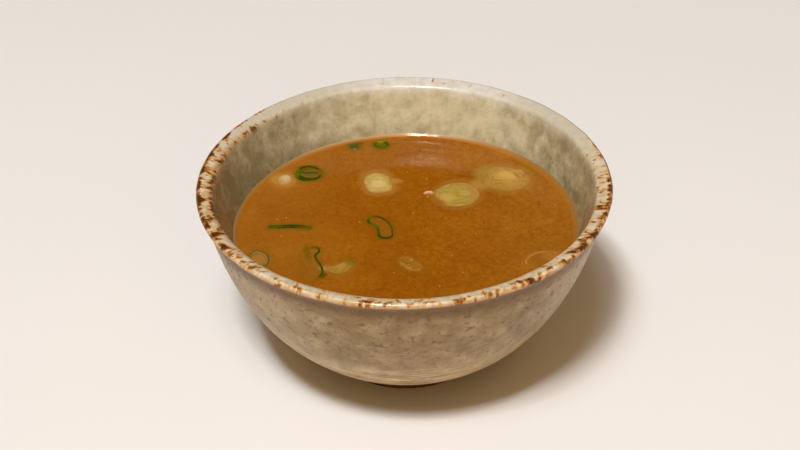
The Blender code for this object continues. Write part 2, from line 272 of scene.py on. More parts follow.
STAINS = {
    "soup": (
        Stain(-30.4, 30.6, 8.0, 1.2, -2, (0.042, 0.045, 0.001), 0.9, 0.9),
        Stain(-31.6, 34.2, 6.0, 1.8, 4, (0.042, 0.045, 0.001), 0.8, 1.0),
        Stain(24.4, 22.6, 7.0, 6.0, 35, TAN, 0.75, 1.2),
        Stain(25.6, 28.2, 6.0, 9.0, 0, (0.300, 0.170, 0.016), 0.80, 1.1),
        Stain(-2.6, 25.2, 3.6, 2.6, 0, TAN, 0.75, 1.2),
        Stain(9.9, 17.6, 4.0, 2.2, 0, TAN, 0.65, 1.2),
        Stain(-40.8, 26.9, 5.0, 4.4, 30, TAN, 0.60, 1.2),
        Stain(40.6, 31.6, 9.0, 2.4, -50, (0.210, 0.105, 0.003), 0.80, 1.2),
        Stain(-16.4, 47.6, 5.0, 2.2, 12, (0.060, 0.060, 0.001), 0.75, 1.0),
        Stain(-24.0, -22.0, 4.6, 2.4, -25, TAN, 0.55, 1.2),
        Stain(-29.6, -14.0, 2.2, 7.5, 10, (0.150, 0.080, 0.002), 0.75, 1.0),
        Stain(-27.6, -11.4, 4.6, 1.4, 0, (0.120, 0.072, 0.002), 0.80, 1.0),
        Stain(-16.0, -18.0, 3.0, 3.6, 20, (0.150, 0.090, 0.002), 0.60, 1.2),
        Stain(-43.6, -17.0, 6.0, 5.0, 0, (0.350, 0.180, 0.038), 0.50, 1.0),
        Stain(44.0, -17.0, 6.0, 4.4, 20, (0.400, 0.160, 0.030), 0.45, 1.0),
        Stain(-24.4, -25.6, 2.0, 3.0, -20, (0.080, 0.055, 0.001), 0.80, 1.0)),
    "leek_slice_front": (
        Stain(11.4, 21.8, 5.0, 2.0, 45, (0.120, 0.100, 0.004), 0.75, 1.0),
        Stain(16.2, 18.3, 2.2, 4.4, -10, (0.330, 0.232, 0.010), 0.65, 1.1),
        Stain(19.0, 17.2, 5.4, 5.0, 0, (0.260, 0.170, 0.016), 0.50, 0.4),
        Stain(19.0, 17.3, 4.0, 3.6, 0, (0.455, 0.290, 0.072), 0.60, 0.7),
        Stain(17.8, 13.4, 6.0, 2.2, 0, (0.360, 0.250, 0.032), 0.40, 1.1),
        Stain(22.6, 17.6, 3.2, 8.0, 10, (0.380, 0.185, 0.036), 0.60, 0.8),
        Stain(16.0, 23.4, 9.0, 2.2, -4, (0.330, 0.180, 0.035), 0.55, 1.0),
        Stain(13.2, 15.0, 5.0, 3.6, -30, (0.500, 0.330, 0.080), 0.60, 0.9)),
    "leek_slice_back": (
        Stain(33.0, 27.6, 6.4, 3.8, -20, (0.500, 0.290, 0.058), 0.95, 1.1),
        Stain(36.6, 29.6, 6.0, 1.4, 0, (0.430, 0.240, 0.045), 0.60, 1.0),
        Stain(36.0, 27.4, 0.9, 3.8, 24, (0.260, 0.120, 0.010), 0.80, 0.8),
        Stain(38.6, 27.4, 0.9, 3.8, -16, (0.260, 0.120, 0.010), 0.75, 0.8),
        Stain(30.0, 24.4, 4.2, 0.9, -12, (0.280, 0.130, 0.014), 0.70, 0.8),
        Stain(30.4, 22.8, 3.0, 0.9, 8, (0.280, 0.130, 0.014), 0.60, 0.8),
        Stain(25.2, 28.4, 4.0, 8.0, 0, (0.270, 0.155, 0.018), 0.75, 0.9),
        Stain(36.0, 33.2, 10.0, 1.8, -22, (0.230, 0.130, 0.008), 0.75, 1.0)),
    "onion_slice": (
        Stain(-9.2, 25.8, 8.0, 1.4, 0, (0.380, 0.265, 0.034), 0.50, 1.0),
        Stain(-8.2, 22.4, 4.4, 2.8, 0, (0.590, 0.360, 0.140), 0.60, 1.1),
        Stain(-4.6, 23.4, 1.6, 5.0, 10, (0.300, 0.220, 0.012), 0.50, 0.9)),
    "onion_chip": (
        Stain(-37.8, 28.2, 3.2, 3.0, 0, (0.500, 0.360, 0.190), 0.90, 1.0),),
    "onion_wedge": (
        Stain(-16.2, -19.2, 3.2, 3.8, 20, (0.150, 0.125, 0.004), 0.70, 1.2),
        Stain(-18.6, -25.0, 9.0, 1.6, 15, (0.170, 0.105, 0.003), 0.60, 1.0)),
    "bean_ring": (
        Stain(-11.4, 4.2, 2.6, 2.2, 0, (0.080, 0.150, 0.002), 0.90, 0.6),
        Stain(-9.3, -0.6, 4.6, 2.4, -50, (0.085, 0.100, 0.001), 0.85, 0.8),
        Stain(-6.8, 3.4, 5.0, 2.0, -10, (0.075, 0.030, 0.001), 0.80, 0.9)),
    "dark_ring": (
        Stain(-34.6, 30.0, 2.2, 5.4, 0, (0.075, 0.125, 0.001), 0.85, 0.7),),
    "folded_ring": (
        Stain(-40.2, 0.3, 4.0, 2.4, 0, (0.060, 0.085, 0.001), 0.95, 0.6),),
    "bright_ring": (
        Stain(-7.6, 48.8, 3.0, 2.2, 0, (0.230, 0.250, 0.004), 0.90, 0.8),),
}

# A blot is laid down as a stain is, and has no colour of its own.
Blot = namedtuple("Blot", "x y length width turn strength soft")

# Where broth washes over a slice or a ring and hides it.
BITES = {
    "onion_slice": (
        Blot(-14.6, 28.8, 5.4, 4.6, 30, 1.0, 1.0),
        Blot(-4.2, 29.4, 5.4, 5.0, -30, 1.0, 1.0)),
    "leek_slice_front": (
        Blot(10.0, 12.4, 5.0, 3.6, -35, 1.0, 1.0),
        Blot(25.0, 24.0, 5.0, 3.0, -35, 0.8, 1.0)),
    "dark_ring": (
        Blot(-26.4, 30.6, 3.2, 4.4, 0, 1.0, 0.8),
        Blot(-28.0, 34.6, 3.0, 2.0, 0, 0.8, 0.8)),
    "folded_ring": (
        Blot(-29.4, -0.8, 5.6, 4.0, 0, 0.85, 1.6),
        Blot(-43.6, 0.4, 4.0, 4.0, 0, 0.80, 1.4)),
    "wavy_ring": (
        Blot(-27.8, -27.4, 5.4, 4.4, 0, 1.0, 0.8),),
    "clear_ring": (
        Blot(5.6, -18.6, 3.4, 3.0, 0, 0.8, 1.2),
        Blot(-1.6, -17.2, 3.0, 2.6, 0, 0.7, 1.2)),
    "right_ring": (
        Blot(37.6, -24.0, 7.6, 5.4, -20, 0.85, 1.2),),
}

# Larger blots where the iron breaks through the glaze of the lip.
IRON_BLOTS = (
    Blot(-51.0, -34.0, 2.4, 1.8, -55, 1.0, 1.2),
    Blot(-46.5, -40.0, 4.0, 2.2, -45, 1.0, 1.2),
    Blot(-43.4, -44.0, 2.4, 2.0, -45, 1.0, 1.2),
    Blot(-36.0, -49.4, 5.0, 2.2, -38, 1.0, 1.2),
    Blot(-28.5, -55.0, 3.4, 1.6, -28, 0.8, 1.2),
    Blot(-12.6, -58.4, 3.0, 1.4, -12, 1.0, 1.2),
    Blot(-8.0, -59.4, 2.2, 1.4, 0, 0.8, 1.2),
    Blot(7.0, -61.0, 2.8, 1.6, 5, 1.0, 1.2),
    Blot(14.3, -60.4, 3.0, 1.6, 12, 0.9, 1.2),
    Blot(21.0, -57.8, 4.0, 2.0, 20, 1.0, 1.2),
    Blot(30.6, -52.6, 4.0, 2.0, 30, 1.0, 1.2),
    Blot(36.5, -49.2, 2.6, 2.0, 35, 1.0, 1.2),
    Blot(41.5, -45.0, 4.2, 2.0, 42, 1.0, 1.2),
    Blot(48.0, -37.8, 4.8, 2.6, 50, 1.0, 1.2),
)

# Small bubbles that cling to the pieces: place and radius in millimetres.
CLINGING_BUBBLES = (
    (1.8, -18.5, 0.34), (0.8, -20.8, 0.26), (1.5, -21.9, 0.20), (-5.7, 2.0, 0.22),
    (-43.7, -13.6, 0.24), (-26.9, -17.2, 0.20), (-41.9, 0.1, 0.24), (7.3, 15.6, 0.36),
    (8.7, 18.4, 0.26), (-36.9, 4.9, 0.24), (-38.0, -5.0, 0.22), (6.8, -1.8, 0.22),
)

# A lamp: how far it stands off the upright over the bowl towards X and Y, for each metre up;
# its distance and size in metres, turn in degrees, power in watts, and colour.
Lamp = namedtuple("Lamp", "name lean distance size turn power colour")

LAMPS = (
    Lamp("window", (-0.155, -0.48), 2.6, (0.38, 0.31), -49.0, 49.0, (1.0, 1.045, 1.10)),
    Lamp("left_pane", (-0.25, -0.395), 2.6, (0.29, 0.18), -40.0, 7.5, (1.0, 1.22, 1.5)),
    Lamp("right_pane", (-0.035, -0.44), 2.6, (0.34, 0.14), 25.0, 9.0, (1.0, 1.04, 1.12)),
    Lamp("ceiling", (0.0, -0.2), 2.0, (3.0, 3.0), 0.0, 13.0, (1.0, 0.74, 0.50)),
    Lamp("room_glow", (0.15, -1.6), 2.4, (2.0, 0.8), 0.0, 9.0, (1.0, 0.56, 0.07)),
)

# The camera: where it stands and where it looks, its roll in degrees, its lens in millimetres.
CAMERA_EYE = Vector((0.0, -0.43097, 0.34237))
CAMERA_TARGET = Vector((-0.001553, 0.0, 0.044846))
CAMERA_ROLL = -0.91
CAMERA_LENS = 76.5
CAMERA_SENSOR = 36.0

# The floor, in metres: flat at first, then curling up to its edge.
FLOOR_FLAT = 1.8
FLOOR_RADIUS = 2.5
FLOOR_CURL = 0.2
FLOOR_RISE = 0.7

# The glow of the room's walls, as linear red, green, blue and opacity, and how strong it is.
ROOM_COLOUR = (1.0, 0.5, 0.1, 1.0)
ROOM_STRENGTH = 0.02


# ---------------------------------------------------------------- shader nodes

class Recipe:
    """One node tree being put together. Each method adds a node and returns its output."""

    def __init__(self, tree):
        self.tree = tree

    def node(self, kind, inputs=(), **settings):
        made = self.tree.nodes.new(kind)
        for name, value in settings.items():
            setattr(made, name, value)
        for key, value in dict(inputs).items():
            self.feed(made.inputs[key], value)
        return made

    def feed(self, socket, value):
        """Link a socket to another node's output, or set its plain value; colours are RGB."""
        if isinstance(value, bpy.types.NodeSocket):
            self.tree.links.new(value, socket)
        elif socket.type == "RGBA":
            socket.default_value = (*value, 1.0)
        else:
            socket.default_value = value

    def place(self):
        """Object coordinates, which on every piece are the part's own."""
        return self.node("ShaderNodeTexCoord").outputs["Object"]

    def stretched(self, vector, stretch):
        return self.node("ShaderNodeMapping", {
            "Vector": vector, "Scale": stretch}).outputs["Vector"]

    def split(self, vector):
        return list(self.node("ShaderNodeSeparateXYZ", {"Vector": vector}).outputs)

    def joined(self, **parts):
        return self.node("ShaderNodeCombineXYZ", parts).outputs["Vector"]

    def vector_math(self, operation, *values):
        made = self.node("ShaderNodeVectorMath", enumerate(values), operation=operation)
        return made.outputs["Value" if operation == "LENGTH" else "Vector"]

    def math(self, operation, first, second=0.0, clamp=False):
        return self.node("ShaderNodeMath", {0: first, 1: second}, operation=operation,
                         use_clamp=clamp).outputs[0]

    def plus(self, first, second, clamp=False):
        return self.math("ADD", first, second, clamp)

    def minus(self, first, second):
        return self.math("SUBTRACT", first, second)

    def times(self, first, second, clamp=False):
        return self.math("MULTIPLY", first, second, clamp)

    def mixed(self, first, first_part, second, second_part):
        """The sum of two values, each taken in its own part."""
        return self.plus(self.times(first, first_part), self.times(second, second_part))

    def scale(self, value, low, high):
        """A value from 0 to 1 spread out between two numbers."""
        return self.node("ShaderNodeMapRange", {
            "Value": value, "To Min": low, "To Max": high}).outputs["Result"]

    def raised(self, value, mask, amount):
        """A value with an amount added where a mask is 1."""
        return self.plus(value, self.scale(mask, 0.0, amount))

    def fade(self, value, start, end):
        """0 before start, 1 after end, smooth between; start may be the larger."""
        return self.node("ShaderNodeMapRange", {
            "Value": value, "From Min": start, "From Max": end},
            interpolation_type="SMOOTHSTEP").outputs["Result"]

    def beyond(self, value, middle, start, end):
        """A fade by how far a value is from a middle one, on either side."""
        return self.fade(self.math("ABSOLUTE", self.minus(value, middle)), start, end)

    def grain(self, vector, size, detail=2.0, roughness=0.5, distortion=0.0):
        """Soft noise from 0 to 1, whose blotches are about this size in metres."""
        return self.node("ShaderNodeTexNoise", {
            "Vector": vector, "Scale": 1.0 / size, "Detail": detail,
            "Roughness": roughness, "Distortion": distortion}).outputs["Fac"]

    def blend(self, mask, below, above):
        made = self.node("ShaderNodeMix", data_type="RGBA")
        self.feed(made.inputs["Factor"], mask)
        self.feed(made.inputs["A"], below)
        self.feed(made.inputs["B"], above)
        return made.outputs["Result"]

    def shades(self, value, *stops):
        """A colour band: stops are (place, colour) from 0 to 1."""
        made = self.node("ShaderNodeValToRGB", {"Fac": value})
        band = made.color_ramp.elements
        while len(band) < len(stops):
            band.new(1.0)
        for element, (place, colour) in zip(band, stops):
            element.position = place
            element.color = (*colour, 1.0)
        return made.outputs["Color"]

    def attribute(self, name):
        return self.node("ShaderNodeAttribute", attribute_name=name).outputs["Fac"]

    def group(self, shared, inputs=()):
        return self.node("ShaderNodeGroup", inputs, node_tree=shared).outputs


def new_group(name, inputs, outputs):
    """An empty shader node group; inputs and outputs are (name, socket type) pairs."""
    tree = bpy.data.node_groups.new(name, "ShaderNodeTree")
    for label, kind in inputs:
        tree.interface.new_socket(label, in_out="INPUT", socket_type="NodeSocket" + kind)
    for label, kind in outputs:
        tree.interface.new_socket(label, in_out="OUTPUT", socket_type="NodeSocket" + kind)
    recipe = Recipe(tree)
    given = recipe.node("NodeGroupInput").outputs
    result = recipe.node("NodeGroupOutput").inputs
    return recipe, given, result


def new_material(name, **sockets):
    """A material with one Principled shader, and the plain values for its sockets."""
    material = bpy.data.materials.new(name)
    material.use_nodes = True
    recipe = Recipe(material.node_tree)
    shader = material.node_tree.nodes["Principled BSDF"]
    for label, value in sockets.items():
        recipe.feed(shader.inputs[label.replace("_", " ").title().replace("Ior", "IOR")], value)
    return material, recipe, shader


def give_relief(recipe, shader, height, depth):
    """Bump from a height of 0 to 1 that stands for this depth in metres."""
    bump = recipe.node("ShaderNodeBump", {"Strength": 1.0, "Distance": depth, "Height": height})
    recipe.feed(shader.inputs["Normal"], bump.outputs["Normal"])


# ---------------------------------------------------------------- shared effects

def make_broth_clouds():
    """Colour of the miso: soft clouds of sediment, pulp and fine grains."""
    recipe, _, result = new_group("broth_clouds", (), (("Colour", "Color"), ("Grain", "Float")))
    points = recipe.place()
    clouds = recipe.grain(points, 16.0 * MM, 2.0, 0.5, 0.6)
    pulp = recipe.grain(points, 1.7 * MM, 3.0, 0.6)
    specks = recipe.grain(points, 0.5 * MM, 1.0)
    side = recipe.fade(recipe.split(points)[0], -45.0 * MM, 40.0 * MM)
    pulp_part = recipe.times(recipe.minus(pulp, 0.5), recipe.scale(side, 0.6, 1.2))
    tone = recipe.mixed(recipe.minus(clouds, 0.5), 0.6, pulp_part, 0.8)
    tone = recipe.plus(tone, recipe.times(recipe.minus(specks, 0.5), 0.35))
    tone = recipe.plus(tone, 0.5, clamp=True)
    recipe.feed(result["Colour"], recipe.shades(
        tone, (0.15, DARK_BROTH), (0.5, BROTH), (0.85, PALE_BROTH)))
    recipe.feed(result["Grain"], pulp)
    return recipe.tree


def make_soaked_broth():
    """Broth tinted by what floats in it: unevenly paler, and unevenly green."""
    recipe, given, result = new_group(
        "soaked_broth", (("Pale", "Float"), ("Green", "Float")),
        (("Colour", "Color"), ("Grain", "Float")))
    clouds = recipe.group(BROTH_CLOUDS)
    wobble = recipe.scale(recipe.grain(recipe.place(), 1.3 * MM, 2.0), 0.5, 1.5)
    pale = recipe.times(given["Pale"], wobble, clamp=True)
    green = recipe.times(given["Green"], wobble, clamp=True)
    colour = recipe.blend(pale, clouds["Colour"], ONION_MILK)
    recipe.feed(result["Colour"], recipe.blend(green, colour, GREEN_BROTH))
    recipe.feed(result["Grain"], clouds["Grain"])
    return recipe.tree


def make_waterline():
    """How far a floating piece stands out of the soup: 0 at the soup's level, then 1."""
    recipe, given, result = new_group(
        "waterline", (("Fade Height", "Float"), ("Unevenness", "Float")), (("Out", "Float"),))
    points = recipe.place()
    height = recipe.minus(recipe.split(points)[2], SOUP_LEVEL)
    ripple = recipe.minus(recipe.grain(points, 1.1 * MM), 0.5)
    uneven = recipe.times(ripple, given["Unevenness"])
    share = recipe.math("DIVIDE", height, given["Fade Height"])
    recipe.feed(result["Out"], recipe.fade(recipe.plus(share, uneven), 0.0, 1.0))
    return recipe.tree


def make_flecks():
    """Scattered dark flecks: inputs are the pattern's coordinates, scale and amount."""
    recipe, given, result = new_group(
        "flecks", (("Vector", "Vector"), ("Scale", "Float"), ("Amount", "Float")),
        (("Mask", "Float"),))
    spots = recipe.node("ShaderNodeTexNoise", {
        "Vector": given["Vector"], "Scale": given["Scale"], "Detail": 2.0,
        "Roughness": 0.6}).outputs["Fac"]
    edge = recipe.minus(0.86, recipe.times(given["Amount"], 0.36))
    recipe.feed(result["Mask"], recipe.fade(recipe.minus(spots, edge), 0.0, 0.09))
    return recipe.tree


BROTH_CLOUDS = make_broth_clouds()
SOAKED_BROTH = make_soaked_broth()
WATERLINE = make_waterline()
FLECKS = make_flecks()


# ---------------------------------------------------------------- bowl

def profile_point(radius, height):
    return Vector((radius, 0.0, height))


def profile_arc(radius, height, size, start_deg, end_deg):
    """Points of an arc in the profile plane, from one angle to another."""
    points = []
    for step in range(ARC_STEPS + 1):
        angle = math.radians(start_deg + (end_deg - start_deg) * step / ARC_STEPS)
        points.append(profile_point(radius + size * math.cos(angle),
                                    height + size * math.sin(angle)))
    return points


def sloped(point, length, slope):
    """The point that lies a length away from another, at a slope in the profile plane."""
    return point + profile_point(length * math.cos(slope), length * math.sin(slope))


def inner_round():
    """Profile of the lip's soft inner edge."""
    return profile_arc(RIM_RADIUS - LIP_WIDTH + LIP_INNER_ROUND,
                       BOWL_HEIGHT - LIP_FALL - LIP_INNER_ROUND,
                       LIP_INNER_ROUND, LIP_INNER_START, LIP_INNER_END)


def inner_wall(steps):
    """Profile of the inside, from the middle of the floor up to the lip's inner edge."""
    floor = profile_point(0.0, FLOOR_HEIGHT)
    lip_edge = inner_round()[0]
    return interpolate_bezier(floor, floor + profile_point(INNER_FLOOR_HANDLE, 0.0),
                              sloped(lip_edge, -INNER_LIP_HANDLE, INNER_LIP_SLOPE),
                              lip_edge, steps)


def wall_top():
    return profile_point(RIM_RADIUS - NECK_INSET, BOWL_HEIGHT - NECK_DROP)


def outer_wall(steps):
    """Profile of the outside, from the neck under the lip down to the top of the foot."""
    under_lip = wall_top()
    foot_top = profile_point(FOOT_TOP_RADIUS + FOOT_LEDGE, FOOT_HEIGHT)
    return interpolate_bezier(under_lip,
                              sloped(under_lip, -OUTER_LIP_HANDLE, OUTER_LIP_SLOPE),
                              sloped(foot_top, OUTER_FOOT_HANDLE, OUTER_FOOT_SLOPE),
                              foot_top, steps)


def lip_over():
    """Profile of the rounded lip, from its inner edge over to its rolled outer edge."""
    inner_edge = inner_round()[1:]
    outer_bead = profile_arc(RIM_RADIUS - LIP_BEAD, BOWL_HEIGHT - LIP_BEAD,
                             LIP_BEAD, 90.0, LIP_BEAD_END)
    flat = [inner_edge[-1].lerp(outer_bead[0], share) for share in (0.25, 0.5, 0.75)]
    return inner_edge + flat + outer_bead


def neck():
    """Profile of the hollow under the lip, between the outer bead and the wall."""
    bead_turn = math.radians(LIP_BEAD_END)
    bead_end = profile_point(RIM_RADIUS - LIP_BEAD + LIP_BEAD * math.cos(bead_turn),
                             BOWL_HEIGHT - LIP_BEAD + LIP_BEAD * math.sin(bead_turn))
    inwards = profile_point(math.sin(bead_turn), -math.cos(bead_turn))
    curve = interpolate_bezier(bead_end, bead_end + NECK_TOP_HANDLE * inwards,
                               sloped(wall_top(), NECK_WALL_HANDLE, OUTER_LIP_SLOPE),
                               wall_top(), NECK_STEPS)
    return curve[1:-1]


def foot_ring():
    """Profile of the foot ring and the shallow recess inside it, down to the axis."""
    corners = [profile_point(FOOT_TOP_RADIUS, FOOT_HEIGHT - FOOT_LEDGE_DROP),
               profile_point(FOOT_BASE_RADIUS, FOOT_CHAMFER),
               profile_point(FOOT_BASE_RADIUS - FOOT_CHAMFER, 0.0),
               profile_point(FOOT_INNER_RADIUS + FOOT_CHAMFER, 0.0),
               profile_point(FOOT_INNER_RADIUS, FOOT_CHAMFER),
               profile_point(FOOT_INNER_RADIUS - FOOT_CHAMFER, FOOT_RECESS),
               profile_point(0.0, FOOT_RECESS)]
    points = []
    for start, end in zip(corners, corners[1:]):
        pieces = max(1, round((end - start).length / FOOT_STEP))
        points += [start.lerp(end, step / pieces) for step in range(pieces)]
    return points + [corners[-1]]


def along_profile(points, zero_at):
    """Distance of each profile point along the profile, from the point at zero_at."""
    distance = [0.0]
    for start, end in zip(points, points[1:]):
        distance.append(distance[-1] + (end - start).length)
    return [value - distance[zero_at] for value in distance]


def spin_round(builder, geometry, steps):
    """Spin vertices and edges once about Z, and close the turn."""
    bmesh.ops.spin(builder, geom=geometry, axis=UP, cent=(0.0, 0.0, 0.0),
                   angle=math.tau, steps=steps, use_merge=True, use_duplicate=False)


def turned(profile, along):
    """Spin a profile about Z into a closed skin that carries the distance along it."""
    builder = bmesh.new()
    layer = builder.verts.layers.float.new("along")
    points = [builder.verts.new(point) for point in profile]
    for point, distance in zip(points, along):
        point[layer] = distance
    edges = [builder.edges.new(pair) for pair in zip(points, points[1:])]
    spin_round(builder, points + edges, TURN_STEPS)
    bmesh.ops.remove_doubles(builder, verts=builder.verts, dist=WELD)
    return builder


def face_outwards(builder):
    bmesh.ops.recalc_face_normals(builder, faces=builder.faces)
    if builder.calc_volume(signed=True) < 0.0:
        bmesh.ops.reverse_faces(builder, faces=builder.faces)


def finish_piece(name, builder, material, replaced=()):
    """Turn a built mesh into an object of the part, riding with the rest of it."""
    mesh = bpy.data.meshes.new(name)
    builder.to_mesh(mesh)
    builder.free()
    mesh.shade_smooth()
    mesh.materials.append(material)
    piece = bpy.data.objects.new(name, mesh)
    bpy.context.scene.collection.objects.link(piece)
    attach(piece, "root")
    if replaced:
        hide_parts(*replaced)
    return piece


def dent(point):
    """How much thicker the wall's inside is at the left back, where the potter's hand rested."""
    off = math.degrees(math.atan2(point.y, point.x)) - DENT_TURN
    off = (off + 180.0) % 360.0 - 180.0
    return DENT_DEPTH * math.exp(-(off / DENT_SPREAD) ** 2)


def hand_swell(point, along):
    """How far the thrown wall stands out at a place, along its own normal."""
    radius = max(math.hypot(point.x, point.y), 1.0 * MM)
    around = Vector((point.x / radius, point.y / radius, 0.0))
    swell = WALL_SWELL * noise.noise(around * 1.6 + UP * along * 22.0)
    lip_share = max(0.0, 1.0 - abs(along - LIP_SWELL_PLACE) / LIP_SWELL_REACH)
    swell += LIP_SWELL * lip_share * noise.noise(around * 9.0 + UP * 5.0)
    if along < DENT_TOP:
        deep = min(1.0, (DENT_TOP - along) / DENT_BLEND)
        swell += dent(point) * deep ** 2 * (3.0 - 2.0 * deep)
    if along > THROWING_START and point.z > THROWING_START:
        low = max(0.0, 1.0 - (point.z - FOOT_HEIGHT) / THROWING_REACH)
        drift = 1.5 * noise.noise(around * 2.0 + UP * along * 60.0)
        ridge = math.sin(math.tau * along / THROWING_PITCH + drift)
        swell += THROWING_RIDGE * (0.2 + 1.6 * low ** 2) * ridge
    return swell


def make_bowl(material):
    """The bowl: one turned skin, whose along is 0 at the lip's outer edge and negative inside."""
    inside = inner_wall(INNER_STEPS)
    over = lip_over()
    outside = outer_wall(OUTER_STEPS)
    profile = inside + over + neck() + outside + foot_ring()
    rim_edge = max(range(len(profile)), key=lambda index: profile[index].x)
    builder = turned(profile, along_profile(profile, rim_edge))
    face_outwards(builder)
    layer = builder.verts.layers.float["along"]
    builder.normal_update()
    moves = [(vert, vert.normal * hand_swell(vert.co, vert[layer])) for vert in builder.verts]
    for vert, move in moves:
        if vert.co.z > FOOT_FACE:
            vert.co += move
    return finish_piece("bowl_glazed", builder, material, ["bowl"])


def unrolled_wall(recipe, points, along):
    """Coordinates that run round the rim at true size, and along the profile for Z."""
    x, y, _ = recipe.split(points)
    around = recipe.vector_math("NORMALIZE", recipe.joined(X=x, Y=y))
    circle = recipe.vector_math("MULTIPLY", around, (RIM_RADIUS, RIM_RADIUS, 0.0))
    return recipe.vector_math("ADD", circle, recipe.joined(Z=along))


def glaze_inside(recipe, unrolled, along, x, y):
    """Pale grey-beige with olive-grey clouds, thickest at the sides, and dark pinpricks; painted
    shade darkens the left, the sides and the front of the inside.
    """
    cloud = recipe.grain(recipe.stretched(unrolled, (1.0, 1.0, 1.25)), 8.5 * MM, 5.0, 0.62, 0.3)
    smear = recipe.grain(recipe.stretched(unrolled, (1.0, 1.0, 0.8)), 2.2 * MM, 4.0, 0.65)
    clouded = recipe.mixed(cloud, 0.72, smear, 0.28)
    calm = recipe.plus(recipe.times(recipe.minus(clouded, 0.5), 0.80), 0.465)
    sides = recipe.beyond(x, 0.0, 26.0 * MM, 50.0 * MM)
    tone = recipe.mixed(calm, recipe.minus(1.0, sides), clouded, sides)
    band = recipe.times(recipe.fade(along, -20.5 * MM, -16.0 * MM),
                        recipe.fade(along, -7.0 * MM, -10.5 * MM))
    tone = recipe.plus(tone, recipe.scale(band, -0.01, 0.015))
    # Darker lower down, towards the soup. Darker on the left, partly for its olive smudges and
    # partly as painted shade; and painted shade at the sides and towards the front, where less
    # light falls on the wall.
    low = recipe.fade(along, -15.0 * MM, -20.0 * MM)
    left = recipe.fade(x, -8.0 * MM, -30.0 * MM)
    nearer_shade = recipe.fade(y, 34.0 * MM, 0.0)
    for mask, darker in ((low, 0.085), (left, 0.105), (sides, 0.085), (nearer_shade, 0.05)):
        tone = recipe.raised(tone, mask, darker)
    colour = recipe.shades(
        tone,
        (0.34, (0.60, 0.525, 0.345)),
        (0.47, (0.505, 0.430, 0.262)),
        (0.57, (0.385, 0.320, 0.183)),
        (0.68, (0.275, 0.220, 0.115)),
        (0.80, (0.185, 0.142, 0.066)))
    prick = recipe.group(FLECKS, {"Vector": unrolled, "Scale": 1.0 / (0.75 * MM),
                                  "Amount": 0.52})["Mask"]
    shown = recipe.times(prick, recipe.scale(sides, 0.3, 0.75))
    return recipe.blend(shown, colour, (0.10, 0.06, 0.028)), prick


def wall_tone(recipe, slanted, x, z):
    """Colour of the outside before its lines and flecks: grey-brown, tanner to the foot, and
    lighter on the flanks with a painted sheen.
    """
    broad = recipe.grain(slanted, 7.0 * MM, 3.0, 0.55)
    mottle = recipe.grain(slanted, 2.2 * MM, 2.0, 0.5)
    # Painted sheen: the outside is made lighter and paler towards its flanks, more so on the right.
    flank_sheen = recipe.beyond(x, 6.0 * MM, 26.0 * MM, 50.0 * MM)
    tone = recipe.raised(recipe.mixed(broad, 0.8, mottle, 0.2), flank_sheen, 0.07)
    grey = recipe.shades(
        tone,
        (0.36, (0.200, 0.126, 0.050)),
        (0.5, (0.272, 0.181, 0.080)),
        (0.68, (0.390, 0.284, 0.154)))
    tan = recipe.shades(tone, (0.36, (0.355, 0.230, 0.100)), (0.70, (0.565, 0.405, 0.215)))
    colour = recipe.blend(recipe.fade(z, 40.0 * MM, 17.0 * MM), grey, tan)
    sheen_share = recipe.scale(recipe.fade(x, 22.0 * MM, 46.0 * MM), 0.38, 0.85)
    return recipe.blend(recipe.times(flank_sheen, sheen_share), colour, (0.52, 0.400, 0.265))


def throwing_lines(recipe, unrolled, colour, z):
    """Pale lines and dark grooves that the potter's fingers left round the low wall."""
    ring = recipe.grain(recipe.stretched(unrolled, (0.06, 0.06, 1.0)), 1.0 * MM, 2.0, 0.6)
    low = recipe.times(recipe.fade(z, 33.0 * MM, 22.0 * MM), 0.75)
    line = recipe.times(recipe.fade(ring, 0.53, 0.63), low)
    groove = recipe.times(recipe.fade(ring, 0.46, 0.36), low)
    colour = recipe.blend(line, colour, (0.70, 0.520, 0.300))
    return recipe.blend(groove, colour, (0.235, 0.130, 0.048))


def glaze_outside(recipe, unrolled, along, x, z):
    """Grey-brown, tanner towards the foot, with soft brown flecks that slant upwards, and painted
    shade under the lip.
    """
    slanted = recipe.node("ShaderNodeMapping", {
        "Vector": unrolled, "Rotation": (0.3, 0.3, 0.0),
        "Scale": (1.0, 1.0, 1.15)}).outputs["Vector"]
    colour = throwing_lines(recipe, unrolled, wall_tone(recipe, slanted, x, z), z)
    # Painted shade: darker in the neck, under the lip's overhang.
    under_lip = recipe.fade(along, 10.5 * MM, 3.5 * MM)
    colour = recipe.blend(recipe.times(under_lip, 0.85), colour, (0.15, 0.072, 0.024))
    fleck = recipe.fade(recipe.grain(slanted, 2.1 * MM, 2.0, 0.5), 0.535, 0.74)
    spot = recipe.group(FLECKS, {"Vector": unrolled, "Scale": 1.0 / (1.5 * MM),
                                 "Amount": 0.60})["Mask"]
    high = recipe.scale(recipe.fade(z, 28.0 * MM, 44.0 * MM), 0.30, 0.90)
    fleck = recipe.math("MAXIMUM", recipe.times(fleck, high), recipe.times(spot, 0.8))
    return recipe.blend(fleck, colour, (0.140, 0.073, 0.022)), fleck


